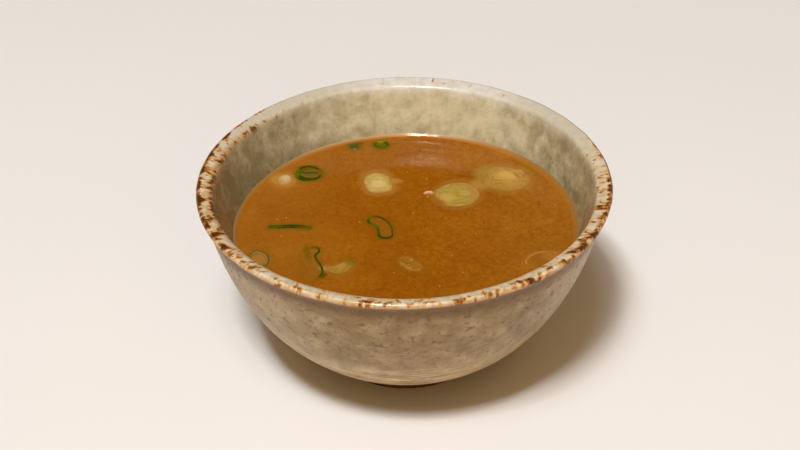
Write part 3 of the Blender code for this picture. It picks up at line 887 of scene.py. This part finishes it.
def lip_iron(recipe, points, unrolled, along, x, y):
    """How strongly the iron shows through the glaze: over about 0.5 it is rust, then black."""
    tongue = recipe.grain(recipe.stretched(unrolled, (1.0, 1.0, 0.65)), 1.5 * MM, 3.0, 0.55, 0.2)
    patch = recipe.grain(unrolled, 4.2 * MM, 2.0)
    near = recipe.fade(y, 42.0 * MM, 14.0 * MM)
    front = recipe.fade(y, -28.0 * MM, -50.0 * MM)
    left = recipe.times(recipe.fade(x, -26.0 * MM, -50.0 * MM),
                        recipe.fade(y, -34.0 * MM, -14.0 * MM))
    right = recipe.times(recipe.fade(x, 16.0 * MM, 40.0 * MM), recipe.fade(y, 30.0 * MM, 8.0 * MM))
    far_right = recipe.times(recipe.fade(x, 30.0 * MM, 48.0 * MM),
                             recipe.fade(y, -6.0 * MM, 12.0 * MM))
    outer_edge = recipe.fade(recipe.raised(along, right, 0.5 * MM), -2.2 * MM, -1.2 * MM)
    edge_share = recipe.raised(recipe.scale(left, 0.05, 0.20), right, 0.09)
    edge_share = recipe.mixed(edge_share, 1.0, front, -0.03)
    share = recipe.plus(recipe.times(outer_edge, edge_share), recipe.scale(near, -0.21, -0.045))
    share = recipe.raised(share, front, -0.012)
    ragged = ragged_edge(recipe, points)
    for blot in IRON_BLOTS:
        share = recipe.raised(share, stain_mask(recipe, points, ragged, blot), 0.15)
    share = recipe.raised(share, left, 0.05)
    share = recipe.raised(share, far_right, -0.09)
    inner_edge = recipe.beyond(along, -5.4 * MM, 1.4 * MM, 0.2 * MM)
    share = recipe.plus(share, recipe.times(inner_edge, recipe.scale(left, 0.0, 0.13)))
    iron = recipe.mixed(tongue, 0.9, patch, 0.75)
    return recipe.minus(recipe.plus(iron, share), 0.36)


def cream_glaze(recipe, unrolled, x, y):
    """The lip's own glaze: warm cream in front, cooler at the back, beige at the back's sides."""
    cloud = recipe.grain(unrolled, 2.6 * MM, 3.0)
    warm = recipe.shades(cloud, (0.36, (0.50, 0.385, 0.220)), (0.64, (0.66, 0.560, 0.390)))
    cool = recipe.shades(cloud, (0.36, (0.545, 0.490, 0.400)), (0.64, (0.635, 0.585, 0.500)))
    aside = recipe.beyond(x, 8.0 * MM, 16.0 * MM, 38.0 * MM)
    cool = recipe.blend(recipe.times(aside, 0.75), cool, (0.46, 0.395, 0.265))
    return recipe.blend(recipe.fade(y, -6.0 * MM, 34.0 * MM), warm, cool)


def glaze_lip(recipe, points, unrolled, along, x, y):
    """Cream that thins to brown on the lip's outer edge, with painted shade towards its inner edge,
    and breaks to rust and black over iron.
    """
    colour = cream_glaze(recipe, unrolled, x, y)
    near = recipe.fade(y, 42.0 * MM, 14.0 * MM)
    # Painted shade: the lip is darkened towards its inner edge, at the front and the sides.
    inner_edge_shade = recipe.times(recipe.fade(along, -3.0 * MM, -5.3 * MM),
                               recipe.times(near, recipe.fade(x, 50.0 * MM, 30.0 * MM)))
    colour = recipe.blend(recipe.times(inner_edge_shade, 0.8), colour, (0.26, 0.150, 0.060))
    thin = recipe.times(recipe.fade(along, -1.1 * MM, 0.1 * MM),
                        recipe.scale(recipe.grain(unrolled, 2.2 * MM, 2.0), -0.3, 1.5), clamp=True)
    colour = recipe.blend(thin, colour, (0.40, 0.205, 0.075))
    iron = lip_iron(recipe, points, unrolled, along, x, y)
    for start, end, over in ((0.40, 0.53, AMBER), (0.49, 0.58, RUST), (0.57, 0.68, IRON_BLACK)):
        colour = recipe.blend(recipe.fade(iron, start, end), colour, over)
    to_right = recipe.fade(x, 10.0 * MM, 30.0 * MM)
    line = recipe.times(recipe.fade(recipe.raised(along, to_right, 0.4 * MM), -1.0 * MM, -0.6 * MM),
                        recipe.fade(y, -20.0 * MM, 6.0 * MM))
    return recipe.blend(recipe.times(line, 0.8), colour, (0.13, 0.070, 0.030)), iron


def bowl_material():
    """Cream glaze with iron spots on the lip, clouds inside, and brown flecks outside."""
    material, recipe, shader = new_material("speckled_glaze", specular_tint=(1.0, 0.85, 0.64))
    along = recipe.attribute("along")
    points = recipe.place()
    x, y, z = recipe.split(points)
    unrolled = unrolled_wall(recipe, points, along)
    inside, prick = glaze_inside(recipe, unrolled, along, x, y)
    outside, fleck = glaze_outside(recipe, unrolled, along, x, z)
    lip, iron = glaze_lip(recipe, points, unrolled, along, x, y)
    clay = recipe.shades(recipe.grain(points, 1.4 * MM, 4.0, 0.7),
                         (0.3, (0.050, 0.018, 0.004)), (0.7, (0.095, 0.038, 0.010)))

    edge_drift = recipe.scale(recipe.grain(unrolled, 4.0 * MM, 3.0), -1.6 * MM, 1.6 * MM)
    lip_along = recipe.plus(along, edge_drift)
    body = recipe.blend(recipe.fade(lip_along, 0.7 * MM, 2.2 * MM), lip, outside)
    body = recipe.blend(recipe.fade(lip_along, -4.4 * MM, -8.6 * MM), body, inside)
    outer_side = recipe.fade(along, 10.0 * MM, 12.0 * MM)
    bare = recipe.fade(recipe.plus(z, edge_drift), BARE_HEIGHT + 0.4 * MM, BARE_HEIGHT - 0.4 * MM)
    bare = recipe.times(bare, outer_side)
    recipe.feed(shader.inputs["Base Color"], recipe.blend(bare, body, clay))

    on_lip = recipe.times(recipe.fade(along, -8.0 * MM, -6.0 * MM),
                          recipe.fade(along, 2.0 * MM, 1.0 * MM))
    iron_mask = recipe.times(recipe.fade(iron, 0.50, 0.60), on_lip)
    rough = recipe.plus(recipe.scale(iron_mask, 0.16, 0.36),
                        recipe.times(recipe.fade(along, 0.4 * MM, 1.4 * MM), 0.30))
    recipe.feed(shader.inputs["Roughness"], recipe.plus(rough, recipe.times(bare, 0.4)))
    pits = recipe.mixed(prick, 0.5, recipe.times(fleck, outer_side), 0.9)
    relief = recipe.minus(recipe.grain(unrolled, 1.6 * MM, 3.0, 0.6), pits)
    relief = recipe.minus(relief, recipe.times(iron_mask, 0.5))
    give_relief(recipe, shader, recipe.times(relief, recipe.scale(on_lip, 1.0, 0.45)), 0.12 * MM)
    return material


# ---------------------------------------------------------------- outlines of the garnish

def turned_left(direction):
    return Vector((-direction.y, direction.x, 0.0))


def centre_line(piece, reach):
    """Middle of a loop and its direction there; reach goes from -1 to 1 along the length."""
    half = piece.length / 2.0
    across = piece.bow * (1.0 - reach ** 2) + piece.wave * math.sin(math.pi * reach)
    climb = -2.0 * piece.bow * reach + piece.wave * math.pi * math.cos(math.pi * reach)
    return Vector((reach * half, across, 0.0)) * MM, Vector((half, climb, 0.0)).normalized()


def narrow_loop_point(piece, share):
    """A place on a squashed loop: even sides along its bent middle, and round ends."""
    radius = piece.width * MM / 2.0
    end = 1.0 - piece.width / piece.length
    side_length = piece.length * MM * end
    end_length = math.pi * radius
    half_round = share % 0.5 * 2.0 * (side_length + end_length)
    side = 1.0 if share % 1.0 < 0.5 else -1.0
    if half_round < side_length:
        middle, along = centre_line(piece, side * end * (1.0 - 2.0 * half_round / side_length))
        return middle + side * radius * turned_left(along)
    middle, along = centre_line(piece, -side * end)
    turn = math.pi * (half_round - side_length) / end_length
    return middle + side * radius * (math.cos(turn) * turned_left(along)
                                     - math.sin(turn) * along)


def loop_point(piece, share):
    """A place on a piece's outline, for a share of the way round, anticlockwise."""
    if piece.wall > 0.0 and piece.length > 1.5 * piece.width:
        return narrow_loop_point(piece, share)
    turn = math.tau * share
    middle, _ = centre_line(piece, math.cos(turn))
    return middle + Vector((0.0, math.sin(turn) * piece.width * MM / 2.0, 0.0))


def piece_place(piece):
    """Matrix that turns a piece by its yaw and centres it in the box of its solid."""
    turn = Matrix.Rotation(math.radians(piece.yaw), 4, "Z")
    outline = [turn @ loop_point(piece, step / LOOP_STEPS) for step in range(LOOP_STEPS)]
    low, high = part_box(piece.name)
    middle_x = (min(point.x for point in outline) + max(point.x for point in outline)) / 2.0
    middle_y = (min(point.y for point in outline) + max(point.y for point in outline)) / 2.0
    shift = Vector(((low.x + high.x) / 2.0 - middle_x, (low.y + high.y) / 2.0 - middle_y, 0.0))
    return Matrix.Translation(shift) @ turn


PLACES = {piece.name: piece_place(piece) for piece in SLICES + RINGS}


def piece_span(piece):
    """Lowest and highest level of a piece's solid."""
    low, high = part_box(piece.name)
    return low.z, high.z


def outline_frame(piece, share):
    """A place on the outline and the outward direction there, in the piece's own axes."""
    before = loop_point(piece, share - LOOP_NUDGE)
    after = loop_point(piece, share + LOOP_NUDGE)
    return loop_point(piece, share), -turned_left((after - before).normalized())


# ---------------------------------------------------------------- soup

def climb_height(from_wall):
    """How high the soup stands above its level at a distance from its hidden edge."""
    falling = math.exp(min(0.0, MENISCUS_START - from_wall) / MENISCUS_REACH)
    band = max(0.0, MENISCUS_START - from_wall)
    return MENISCUS_SLOPE * (MENISCUS_REACH * falling + band)


def soup_top(wall_radius):
    """Profile of the soup's surface, from the wall in to the middle."""
    points = []
    radius = wall_radius
    while radius > SOUP_MIDDLE:
        from_wall = wall_radius - radius
        points.append(profile_point(radius, SOUP_LEVEL + climb_height(from_wall)))
        radius -= min(SOUP_STEP_MOST, SOUP_STEP_LEAST + SOUP_STEP_GROWTH * from_wall)
    return points + [profile_point(0.0, SOUP_LEVEL)]


def outline_tree():
    """Every outline's points for a nearest-point search, with their pieces and outward ways."""
    pieces = SLICES + RINGS
    tree = kdtree.KDTree(LOOP_STEPS * len(pieces))
    beside = []
    for piece in pieces:
        place = PLACES[piece.name]
        turn = place.to_3x3()
        for step in range(LOOP_STEPS):
            edge, outward = outline_frame(piece, step / LOOP_STEPS)
            tree.insert(place @ edge, len(beside))
            beside.append((piece, turn @ outward))
    tree.balance()
    return tree, beside


OUTLINES, BESIDE = outline_tree()


def nearest_outline(point):
    """The floating piece nearest to a point, how far off it is, and if the point is inside."""
    flat = Vector((point.x, point.y, 0.0))
    edge, index, distance = OUTLINES.find(flat)
    piece, outward = BESIDE[index]
    return piece, distance, (flat - edge).dot(outward) < 0.0


def soup_tint(point):
    """How much the soup is tinted pale and green by what floats near a point."""
    piece, distance, inside = nearest_outline(point)
    glow = GLOWS[piece.name]
    if inside:
        return glow.pale_inside, glow.green_inside
    near = math.exp(-(distance / (glow.reach * MM)) ** 2)
    return glow.pale * near, glow.green * near


def back_ripple(point, from_wall):
    """Height of the faint ripples that run along the back wall."""
    bend = RIPPLE_BEND * noise.noise(point * 60.0)
    wave = math.sin(math.tau * (from_wall + bend) / RIPPLE_PITCH)
    calm = math.exp(-(from_wall - RIPPLE_PITCH) ** 2 / (2.0 * RIPPLE_PITCH ** 2))
    return RIPPLE_HEIGHT * wave * calm * max(0.0, point.y) / RIM_RADIUS


def make_soup(material):
    """The soup: turned, lifted at its edges, and carrying the tint of what floats in it."""
    wall = inner_wall(SOUP_WALL_STEPS)
    below = [point for point in wall if point.z < SOUP_LEVEL + MENISCUS_RISE]
    side = [point + profile_point(SOUP_TUCK * min(1.0, point.x / SOUP_TUCK_START),
                                  -0.4 * SOUP_TUCK) for point in below]
    side[0].x = 0.0
    wall_radius = below[-1].x + SOUP_TUCK
    profile = side[::3] + [side[-1]] + soup_top(wall_radius)
    builder = turned(profile, along_profile(profile, 0))
    face_outwards(builder)
    pale = builder.verts.layers.float.new("pale")
    green = builder.verts.layers.float.new("green")
    for vert in builder.verts:
        if vert.co.z > SOUP_LEVEL - 0.1 * MM:
            radius = math.hypot(vert.co.x, vert.co.y)
            shrink = 1.0 - dent(vert.co) * (radius / wall_radius) ** 6 / wall_radius
            vert.co.x *= shrink
            vert.co.y *= shrink
            distance = nearest_outline(vert.co)[1]
            vert.co.z += CLING_RISE * math.exp(-(distance / CLING_REACH) ** 2)
            vert.co.z += SOUP_SWELL * noise.noise(vert.co * 120.0)
            vert.co.z += back_ripple(vert.co, wall_radius - radius)
            vert[pale], vert[green] = soup_tint(vert.co)
    return finish_piece("soup_body", builder, material, ["soup"])


def wet_wall(recipe, sides, x):
    """Colour of the wall as it shows through the thin film of soup that climbs it; darker at the
    sides, partly the wall's own clouds and partly painted shade, as on the inside's glaze.
    """
    # Painted shade, in part: the wall at the sides is darker, more so on the right.
    shaded_side_wall = recipe.blend(recipe.fade(x, -10.0 * MM, 20.0 * MM),
                             (0.30, 0.200, 0.095), (0.235, 0.142, 0.052))
    return recipe.blend(sides, (0.51, 0.385, 0.195), shaded_side_wall)


def soup_material():
    """Broth with its clouds and tints, which thins to a film of the wall's colour at the edge."""
    material, recipe, shader = new_material("miso_broth", ior=1.34,
                                            specular_tint=(1.0, 0.82, 0.64))
    points = recipe.place()
    x, _, z = recipe.split(points)
    soaked = recipe.group(SOAKED_BROTH, {"Pale": recipe.attribute("pale"),
                                         "Green": recipe.attribute("green")})
    sides = recipe.beyond(x, 0.0, 8.0 * MM, 46.0 * MM)
    colour = recipe.blend(recipe.times(sides, 0.10), soaked["Colour"], TAN)
    colour = add_stains(recipe, points, colour, STAINS["soup"])
    edge = recipe.fade(z, SOUP_LEVEL + 0.08 * MM, SOUP_LEVEL + 0.35 * MM)
    colour = recipe.blend(recipe.times(edge, 0.5), colour, (0.36, 0.145, 0.014))
    lift = recipe.minus(z, recipe.scale(recipe.fade(x, 0.0, 42.0 * MM), 0.0, 0.25 * MM))
    film = recipe.fade(lift, SOUP_LEVEL + 0.22 * MM, SOUP_LEVEL + 1.55 * MM)
    recipe.feed(shader.inputs["Base Color"],
                recipe.blend(film, colour, wet_wall(recipe, sides, x)))
    beside_glint = recipe.beyond(x, 6.0 * MM, 3.0 * MM, 7.0 * MM)
    climb = recipe.fade(z, SOUP_LEVEL + 0.15 * MM, SOUP_LEVEL + 0.5 * MM)
    recipe.feed(shader.inputs["Roughness"],
                recipe.scale(recipe.times(beside_glint, climb), 0.07, 0.45))
    give_relief(recipe, shader, soaked["Grain"], 0.03 * MM)
    return material


# ---------------------------------------------------------------- stains on the pieces

def stain_mask(recipe, points, ragged, stain):
    """1 inside a stain, falling to 0 over its soft uneven edge."""
    local = recipe.node("ShaderNodeMapping", {
        "Vector": points, "Location": (stain.x * MM, stain.y * MM, SOUP_LEVEL),
        "Rotation": (0.0, 0.0, math.radians(stain.turn)),
        "Scale": (stain.length * MM / 2.0, stain.width * MM / 2.0, 1.0)},
        vector_type="TEXTURE").outputs["Vector"]
    off_centre = recipe.plus(recipe.vector_math("LENGTH", local), ragged)
    mask = recipe.fade(off_centre, 1.0 + stain.soft / 2.0, 1.0 - stain.soft / 2.0)
    return recipe.times(mask, stain.strength)


def ragged_edge(recipe, points):
    return recipe.scale(recipe.grain(points, 1.2 * MM, 3.0), -0.45, 0.45)


def bitten(recipe, points, shown, piece):
    """How much of a piece shows, less where broth washes over it."""
    ragged = ragged_edge(recipe, points)
    for bite in BITES.get(piece.name, ()):
        kept = recipe.minus(1.0, stain_mask(recipe, points, ragged, bite))
        shown = recipe.times(shown, kept)
    return shown


def add_stains(recipe, points, colour, stains):
    """Blend stains into a colour, one over the other."""
    ragged = ragged_edge(recipe, points)
    for stain in stains:
        colour = recipe.blend(stain_mask(recipe, points, ragged, stain), colour, stain.colour)
    return colour


# ---------------------------------------------------------------- slices

def make_slice(piece, material):
    """A soaked slice: an outline raised into a low, slightly rippled top."""
    low, _ = piece_span(piece)
    look = FLESH[piece.name]
    builder = bmesh.new()
    layer = builder.verts.layers.float.new("inward")
    corners = [builder.verts.new(loop_point(piece, step / LOOP_STEPS) + UP * low)
               for step in range(LOOP_STEPS)]
    face = builder.faces.new(corners)
    waist = SOUP_LEVEL - SLICE_SINK
    top = bmesh.ops.extrude_discrete_faces(builder, faces=[face])["faces"][0]
    builder.faces.new(reversed(corners))
    for vert in top.verts:
        vert.co.z = waist
    shrink_from = 1.0
    for step in range(1, SLICE_STEPS + 1):
        inward = step / (SLICE_STEPS + 1.0)
        shrink = 1.0 - inward
        top = bmesh.ops.extrude_discrete_faces(builder, faces=[top])["faces"][0]
        climb = 1.0 - (1.0 - min(1.0, inward / SLICE_SHOULDER)) ** 2
        height = waist + (SLICE_SINK + look.rise * MM) * climb
        height += look.groove * MM * math.sin(inward * look.layers * math.tau) * climb
        for vert in top.verts:
            vert.co.x *= shrink / shrink_from
            vert.co.y *= shrink / shrink_from
            vert.co.z = height
            vert[layer] = inward
        shrink_from = shrink
    bmesh.ops.poke(builder, faces=[top])
    for vert in builder.verts:
        if vert.co.z > waist:
            vert.co.z += SLICE_SWELL * noise.noise(vert.co * 300.0 + UP * piece.length)
    face_outwards(builder)
    builder.transform(PLACES[piece.name])
    return finish_piece(piece.name + "_soaked", builder, material,
                        [piece.name])


def slice_material(piece):
    """Wet onion flesh with a pale body, thin broken layers, stains, and a lost edge."""
    look = FLESH[piece.name]
    glow = GLOWS[piece.name]
    material, recipe, shader = new_material(piece.name + "_flesh", roughness=0.22, ior=1.36)
    inward = recipe.attribute("inward")
    points = recipe.place()
    drift = recipe.scale(recipe.grain(points, 3.2 * MM, 3.0), -0.18, 0.18)
    warped = recipe.plus(inward, drift)
    mottle = recipe.grain(points, 1.8 * MM, 4.0, 0.6)
    body = recipe.shades(mottle, (0.32, look.shade), (0.62, look.body))
    colour = recipe.blend(recipe.fade(warped, 0.35, 0.85), body, look.core)
    turns = recipe.times(recipe.plus(inward, recipe.times(drift, 0.5)), math.tau * look.layers)
    line = recipe.fade(recipe.math("SINE", turns), 0.6, 0.98)
    broken = recipe.fade(recipe.grain(points, 2.6 * MM, 2.0), 0.5, 0.62)
    line = recipe.times(line, broken)
    colour = recipe.blend(recipe.times(line, 0.4), colour, (0.20, 0.12, 0.02))
    colour = add_stains(recipe, points, colour, STAINS.get(piece.name, ()))
    colour = recipe.blend(recipe.fade(warped, 0.0, look.fade), look.halo, colour)
    broth = recipe.group(SOAKED_BROTH, {"Pale": glow.pale, "Green": glow.green})["Colour"]
    shown = bitten(recipe, points, recipe.fade(warped, -0.09, 0.8 * look.fade), piece)
    recipe.feed(shader.inputs["Base Color"], recipe.blend(shown, broth, colour))
    give_relief(recipe, shader, recipe.minus(mottle, line), 0.06 * MM)
    return material


# ---------------------------------------------------------------- rings

def band_section(wall, bottom, top):
    """Cross-section of a ring's wall with a rounded top, its outer face on the drum."""
    half = wall / 2.0
    points = [profile_point(DRUM_RADIUS, bottom)]
    for step in range(BAND_TOP_STEPS + 1):
        turn = math.pi * step / BAND_TOP_STEPS
        points.append(profile_point(DRUM_RADIUS - half + half * math.cos(turn),
                                    top - half + half * math.sin(turn)))
    points.append(profile_point(DRUM_RADIUS - wall, bottom))
    return points


def lean_towards(direction, turn, wide=0.0):
    """1 where a direction points along a turn in degrees, falling to 0 beside it."""
    aim = Vector((math.cos(math.radians(turn)), math.sin(math.radians(turn)), 0.0))
    return max(0.0, direction.normalized().dot(aim) + wide) / (1.0 + wide)


def make_ring(piece, material):
    """A ring of green onion: a band bent round its loop, thicker and sunk on some sides."""
    low, high = piece_span(piece)
    look = SKINS[piece.name]
    wall = piece.wall * MM
    builder = bmesh.new()
    layer = builder.verts.layers.float.new("across")
    points = [builder.verts.new(point) for point in band_section(wall, low, high)]
    for point in points:
        point[layer] = 1.0 + 2.0 * (point.co.x - DRUM_RADIUS) / wall
    edges = [builder.edges.new(pair) for pair in zip(points, points[1:] + points[:1])]
    spin_round(builder, points + edges, LOOP_STEPS)
    turn = PLACES[piece.name].to_3x3()
    for vert in builder.verts:
        share = math.atan2(vert.co.y, vert.co.x) / math.tau
        inset = math.hypot(vert.co.x, vert.co.y) - DRUM_RADIUS
        edge, outward = outline_frame(piece, share)
        way = turn @ outward
        around = Vector((math.cos(math.tau * share), math.sin(math.tau * share), piece.length))
        thick = look.thick * (1.0 + 0.3 * noise.noise(around * 1.7))
        thick += look.bold * lean_towards(way, look.bold_turn)
        height = vert.co.z
        if height > SOUP_LEVEL - RING_FOOT:
            height += RING_SWELL * noise.noise(around * 2.6)
            height -= look.sunk * MM * lean_towards(way, look.sunk_turn, 0.35)
        vert.co = edge + outward * inset * thick
        vert.co.z = height
    face_outwards(builder)
    builder.transform(PLACES[piece.name])
    return finish_piece(piece.name + "_soaked", builder, material,
                        [piece.name])


def ring_material(piece):
    """Green onion wall: dark skin outside, vivid patches, pale inside, foot lost in soup."""
    look = SKINS[piece.name]
    material, recipe, shader = new_material(piece.name + "_skin", roughness=0.30, ior=1.36,
                                            specular_ior_level=0.0)
    across = recipe.attribute("across")
    points = recipe.place()
    patch = recipe.fade(recipe.grain(points, 3.4 * MM, 2.0), 0.45, 0.62)
    outer = recipe.blend(patch, look.skin, look.vivid)
    inner_side = recipe.fade(across, look.line + 0.3, look.line - 0.3)
    colour = recipe.blend(inner_side, outer, look.inner)
    streak = recipe.grain(recipe.stretched(points, (1.0, 1.0, 0.3)), 0.5 * MM, 2.0)
    colour = recipe.blend(recipe.scale(streak, 0.0, 0.35), colour, look.skin)
    colour = add_stains(recipe, points, colour, STAINS.get(piece.name, ()))
    out = recipe.group(WATERLINE, {"Fade Height": 0.25 * MM, "Unevenness": 0.5})["Out"]
    out = bitten(recipe, points, out, piece)
    broth = recipe.group(SOAKED_BROTH, {"Pale": 0.0, "Green": GLOWS[piece.name].green})["Colour"]
    recipe.feed(shader.inputs["Base Color"], recipe.blend(out, broth, colour))
    give_relief(recipe, shader, streak, 0.05 * MM)
    return material


# ---------------------------------------------------------------- small things in the soup

def scattered_spots(count):
    """Scattered places on the soup, clear of the floating pieces, each with two random draws."""
    source = random.Random(7)
    spots = []
    while len(spots) < count:
        x = source.uniform(-SCATTER_HALF, SCATTER_HALF)
        y = source.uniform(-SCATTER_HALF, SCATTER_HALF)
        place = Vector((x, y, 0.0))
        clump = noise.noise(place * 90.0) + 0.5 * noise.noise(place * 300.0)
        if place.length > SCATTER_RADIUS or clump < source.uniform(-0.75, 0.55):
            continue
        _, distance, inside = nearest_outline(place)
        if distance < SPOT_GAP or (inside and distance < WIDEST_HALF):
            continue
        spots.append((place, source.random(), source.random()))
    return spots


def make_miso_grains(spots):
    """Fine grains of soybean paste that lie in the soup's surface, some light, some dark."""
    builder = bmesh.new()
    layer = builder.verts.layers.float.new("shade")
    for place, draw, shade in spots:
        size = GRAIN_LEAST + GRAIN_SPREAD * draw ** 2
        stretch = Matrix.Diagonal((1.0 + GRAIN_LENGTHENING * shade, 1.0, GRAIN_FLATNESS, 1.0))
        spin = Matrix.Rotation(math.tau * draw * 7.0, 4, "Z")
        where = Matrix.Translation(place + UP * (SOUP_LEVEL + 0.12 * size))
        made = bmesh.ops.create_icosphere(builder, subdivisions=1, radius=size,
                                          matrix=where @ spin @ stretch)
        for vert in made["verts"]:
            vert[layer] = shade
    material, recipe, shader = new_material("miso_grains", roughness=0.6, specular_ior_level=0.0)
    recipe.feed(shader.inputs["Base Color"], recipe.shades(
        recipe.attribute("shade"),
        (0.25, (0.190, 0.046, 0.001)),
        (0.55, (0.28, 0.088, 0.003)),
        (0.9, (0.42, 0.175, 0.016))))
    return finish_piece("miso_grains", builder, material)


def make_bubbles(spots):
    """Tiny bubbles: most lie scattered in the soup, and some cling to floating pieces."""
    builder = bmesh.new()
    bubbles = [(place, BUBBLE_LEAST + BUBBLE_SPREAD * draw) for place, draw, _ in spots]
    bubbles += [(Vector((x, y, 0.0)) * MM, size * MM) for x, y, size in CLINGING_BUBBLES]
    for place, size in bubbles:
        where = Matrix.Translation(place + UP * (SOUP_LEVEL + BUBBLE_LIFT * size))
        bmesh.ops.create_icosphere(builder, subdivisions=2, radius=size, matrix=where)
    material, _, _ = new_material("bubbles", base_color=(0.50, 0.25, 0.050), roughness=0.06,
                                  ior=1.34, specular_tint=(1.0, 0.78, 0.45))
    return finish_piece("bubbles", builder, material)


def make_rolled_skin():
    """A scrap of pale onion skin, rolled up small, at the near tip of the front leek slice."""
    builder = bmesh.new()
    made = bmesh.ops.create_uvsphere(builder, u_segments=20, v_segments=12, radius=1.0 * MM)
    for vert in made["verts"]:
        reach = vert.co.x / MM
        vert.co.x *= ROLLED_SKIN_LONG
        vert.co.y = vert.co.y * ROLLED_SKIN_WIDE - ROLLED_SKIN_BEND * reach ** 2
        vert.co.z = (vert.co.z * ROLLED_SKIN_HIGH
                     + ROLLED_SKIN_CRUMPLE * noise.noise(vert.co * 900.0))
    bmesh.ops.smooth_vert(builder, verts=builder.verts, factor=0.4, use_axis_x=True,
                          use_axis_y=True, use_axis_z=True)
    place = Matrix.Translation((*ROLLED_SKIN_PLACE, SOUP_LEVEL + 0.1 * MM))
    builder.transform(place @ Matrix.Rotation(math.radians(ROLLED_SKIN_TURN), 4, "Z"))
    material, recipe, shader = new_material("rolled_skin", roughness=0.12)
    streak = recipe.grain(recipe.stretched(recipe.place(), (0.5, 2.0, 1.0)), 0.8 * MM, 2.0)
    recipe.feed(shader.inputs["Base Color"], recipe.shades(
        streak, (0.35, (0.50, 0.23, 0.10)), (0.65, (0.68, 0.42, 0.26))))
    return finish_piece("rolled_skin", builder, material)


# ---------------------------------------------------------------- studio

def make_floor():
    """A pale sheet of paper that curves up far behind everything."""
    builder = bmesh.new()
    sweep = [profile_point(radius, 0.0) for radius in (0.0, 0.5, 1.6)]
    sweep += interpolate_bezier(profile_point(FLOOR_FLAT, 0.0),
                                profile_point(FLOOR_RADIUS - FLOOR_CURL, 0.0),
                                profile_point(FLOOR_RADIUS, FLOOR_CURL),
                                profile_point(FLOOR_RADIUS, FLOOR_RISE), 12)
    points = [builder.verts.new(point) for point in sweep]
    edges = [builder.edges.new(pair) for pair in zip(points, points[1:])]
    spin_round(builder, points + edges, FLOOR_STEPS)
    bmesh.ops.remove_doubles(builder, verts=builder.verts, dist=0.1 * MM)
    bmesh.ops.recalc_face_normals(builder, faces=builder.faces)
    mesh = bpy.data.meshes.new("floor")
    builder.to_mesh(mesh)
    builder.free()
    mesh.shade_smooth()
    material, _, _ = new_material("floor_paper", base_color=(0.745, 0.702, 0.652), roughness=0.9)
    mesh.materials.append(material)
    floor = bpy.data.objects.new("floor", mesh)
    bpy.context.scene.collection.objects.link(floor)


def add_area_light(lamp):
    """A rectangular lamp aimed at the foot of the bowl."""
    light = bpy.data.lights.new(lamp.name, "AREA")
    light.shape = "RECTANGLE"
    light.size, light.size_y = lamp.size
    light.energy = lamp.power
    light.color = lamp.colour
    holder = bpy.data.objects.new(lamp.name, light)
    bpy.context.scene.collection.objects.link(holder)
    towards = Vector((*lamp.lean, 1.0)).normalized()
    aim = towards.to_track_quat("Z", "Y").to_matrix().to_4x4()
    roll = Matrix.Rotation(math.radians(lamp.turn), 4, "Z")
    holder.matrix_world = Matrix.Translation(towards * lamp.distance) @ aim @ roll


def add_world():
    """A faint warm glow from all round, as from the walls of a room."""
    world = bpy.data.worlds.new("room")
    world.use_nodes = True
    surroundings = world.node_tree.nodes["Background"]
    surroundings.inputs["Color"].default_value = ROOM_COLOUR
    surroundings.inputs["Strength"].default_value = ROOM_STRENGTH
    bpy.context.scene.world = world


def add_camera():
    lens = bpy.data.cameras.new("camera")
    lens.lens = CAMERA_LENS
    lens.sensor_width = CAMERA_SENSOR
    lens.clip_start = 0.01
    camera = bpy.data.objects.new("camera", lens)
    bpy.context.scene.collection.objects.link(camera)
    aim = (CAMERA_TARGET - CAMERA_EYE).to_track_quat("-Z", "Y").to_matrix().to_4x4()
    roll = Matrix.Rotation(math.radians(CAMERA_ROLL), 4, "Z")
    camera.matrix_world = Matrix.Translation(CAMERA_EYE) @ aim @ roll
    bpy.context.scene.camera = camera


# ---------------------------------------------------------------- everything together

def make_everything():
    make_bowl(bowl_material())
    make_soup(soup_material())
    for piece in SLICES:
        make_slice(piece, slice_material(piece))
    for piece in RINGS:
        make_ring(piece, ring_material(piece))
    spots = scattered_spots(GRAIN_COUNT + LOOSE_BUBBLE_COUNT)
    make_miso_grains(spots[:GRAIN_COUNT])
    make_bubbles(spots[GRAIN_COUNT:])
    make_rolled_skin()


add_camera()
make_everything()
make_floor()
for studio_lamp in LAMPS:
    add_area_light(studio_lamp)
add_world()
bpy.context.scene.view_settings.view_transform = "Standard"
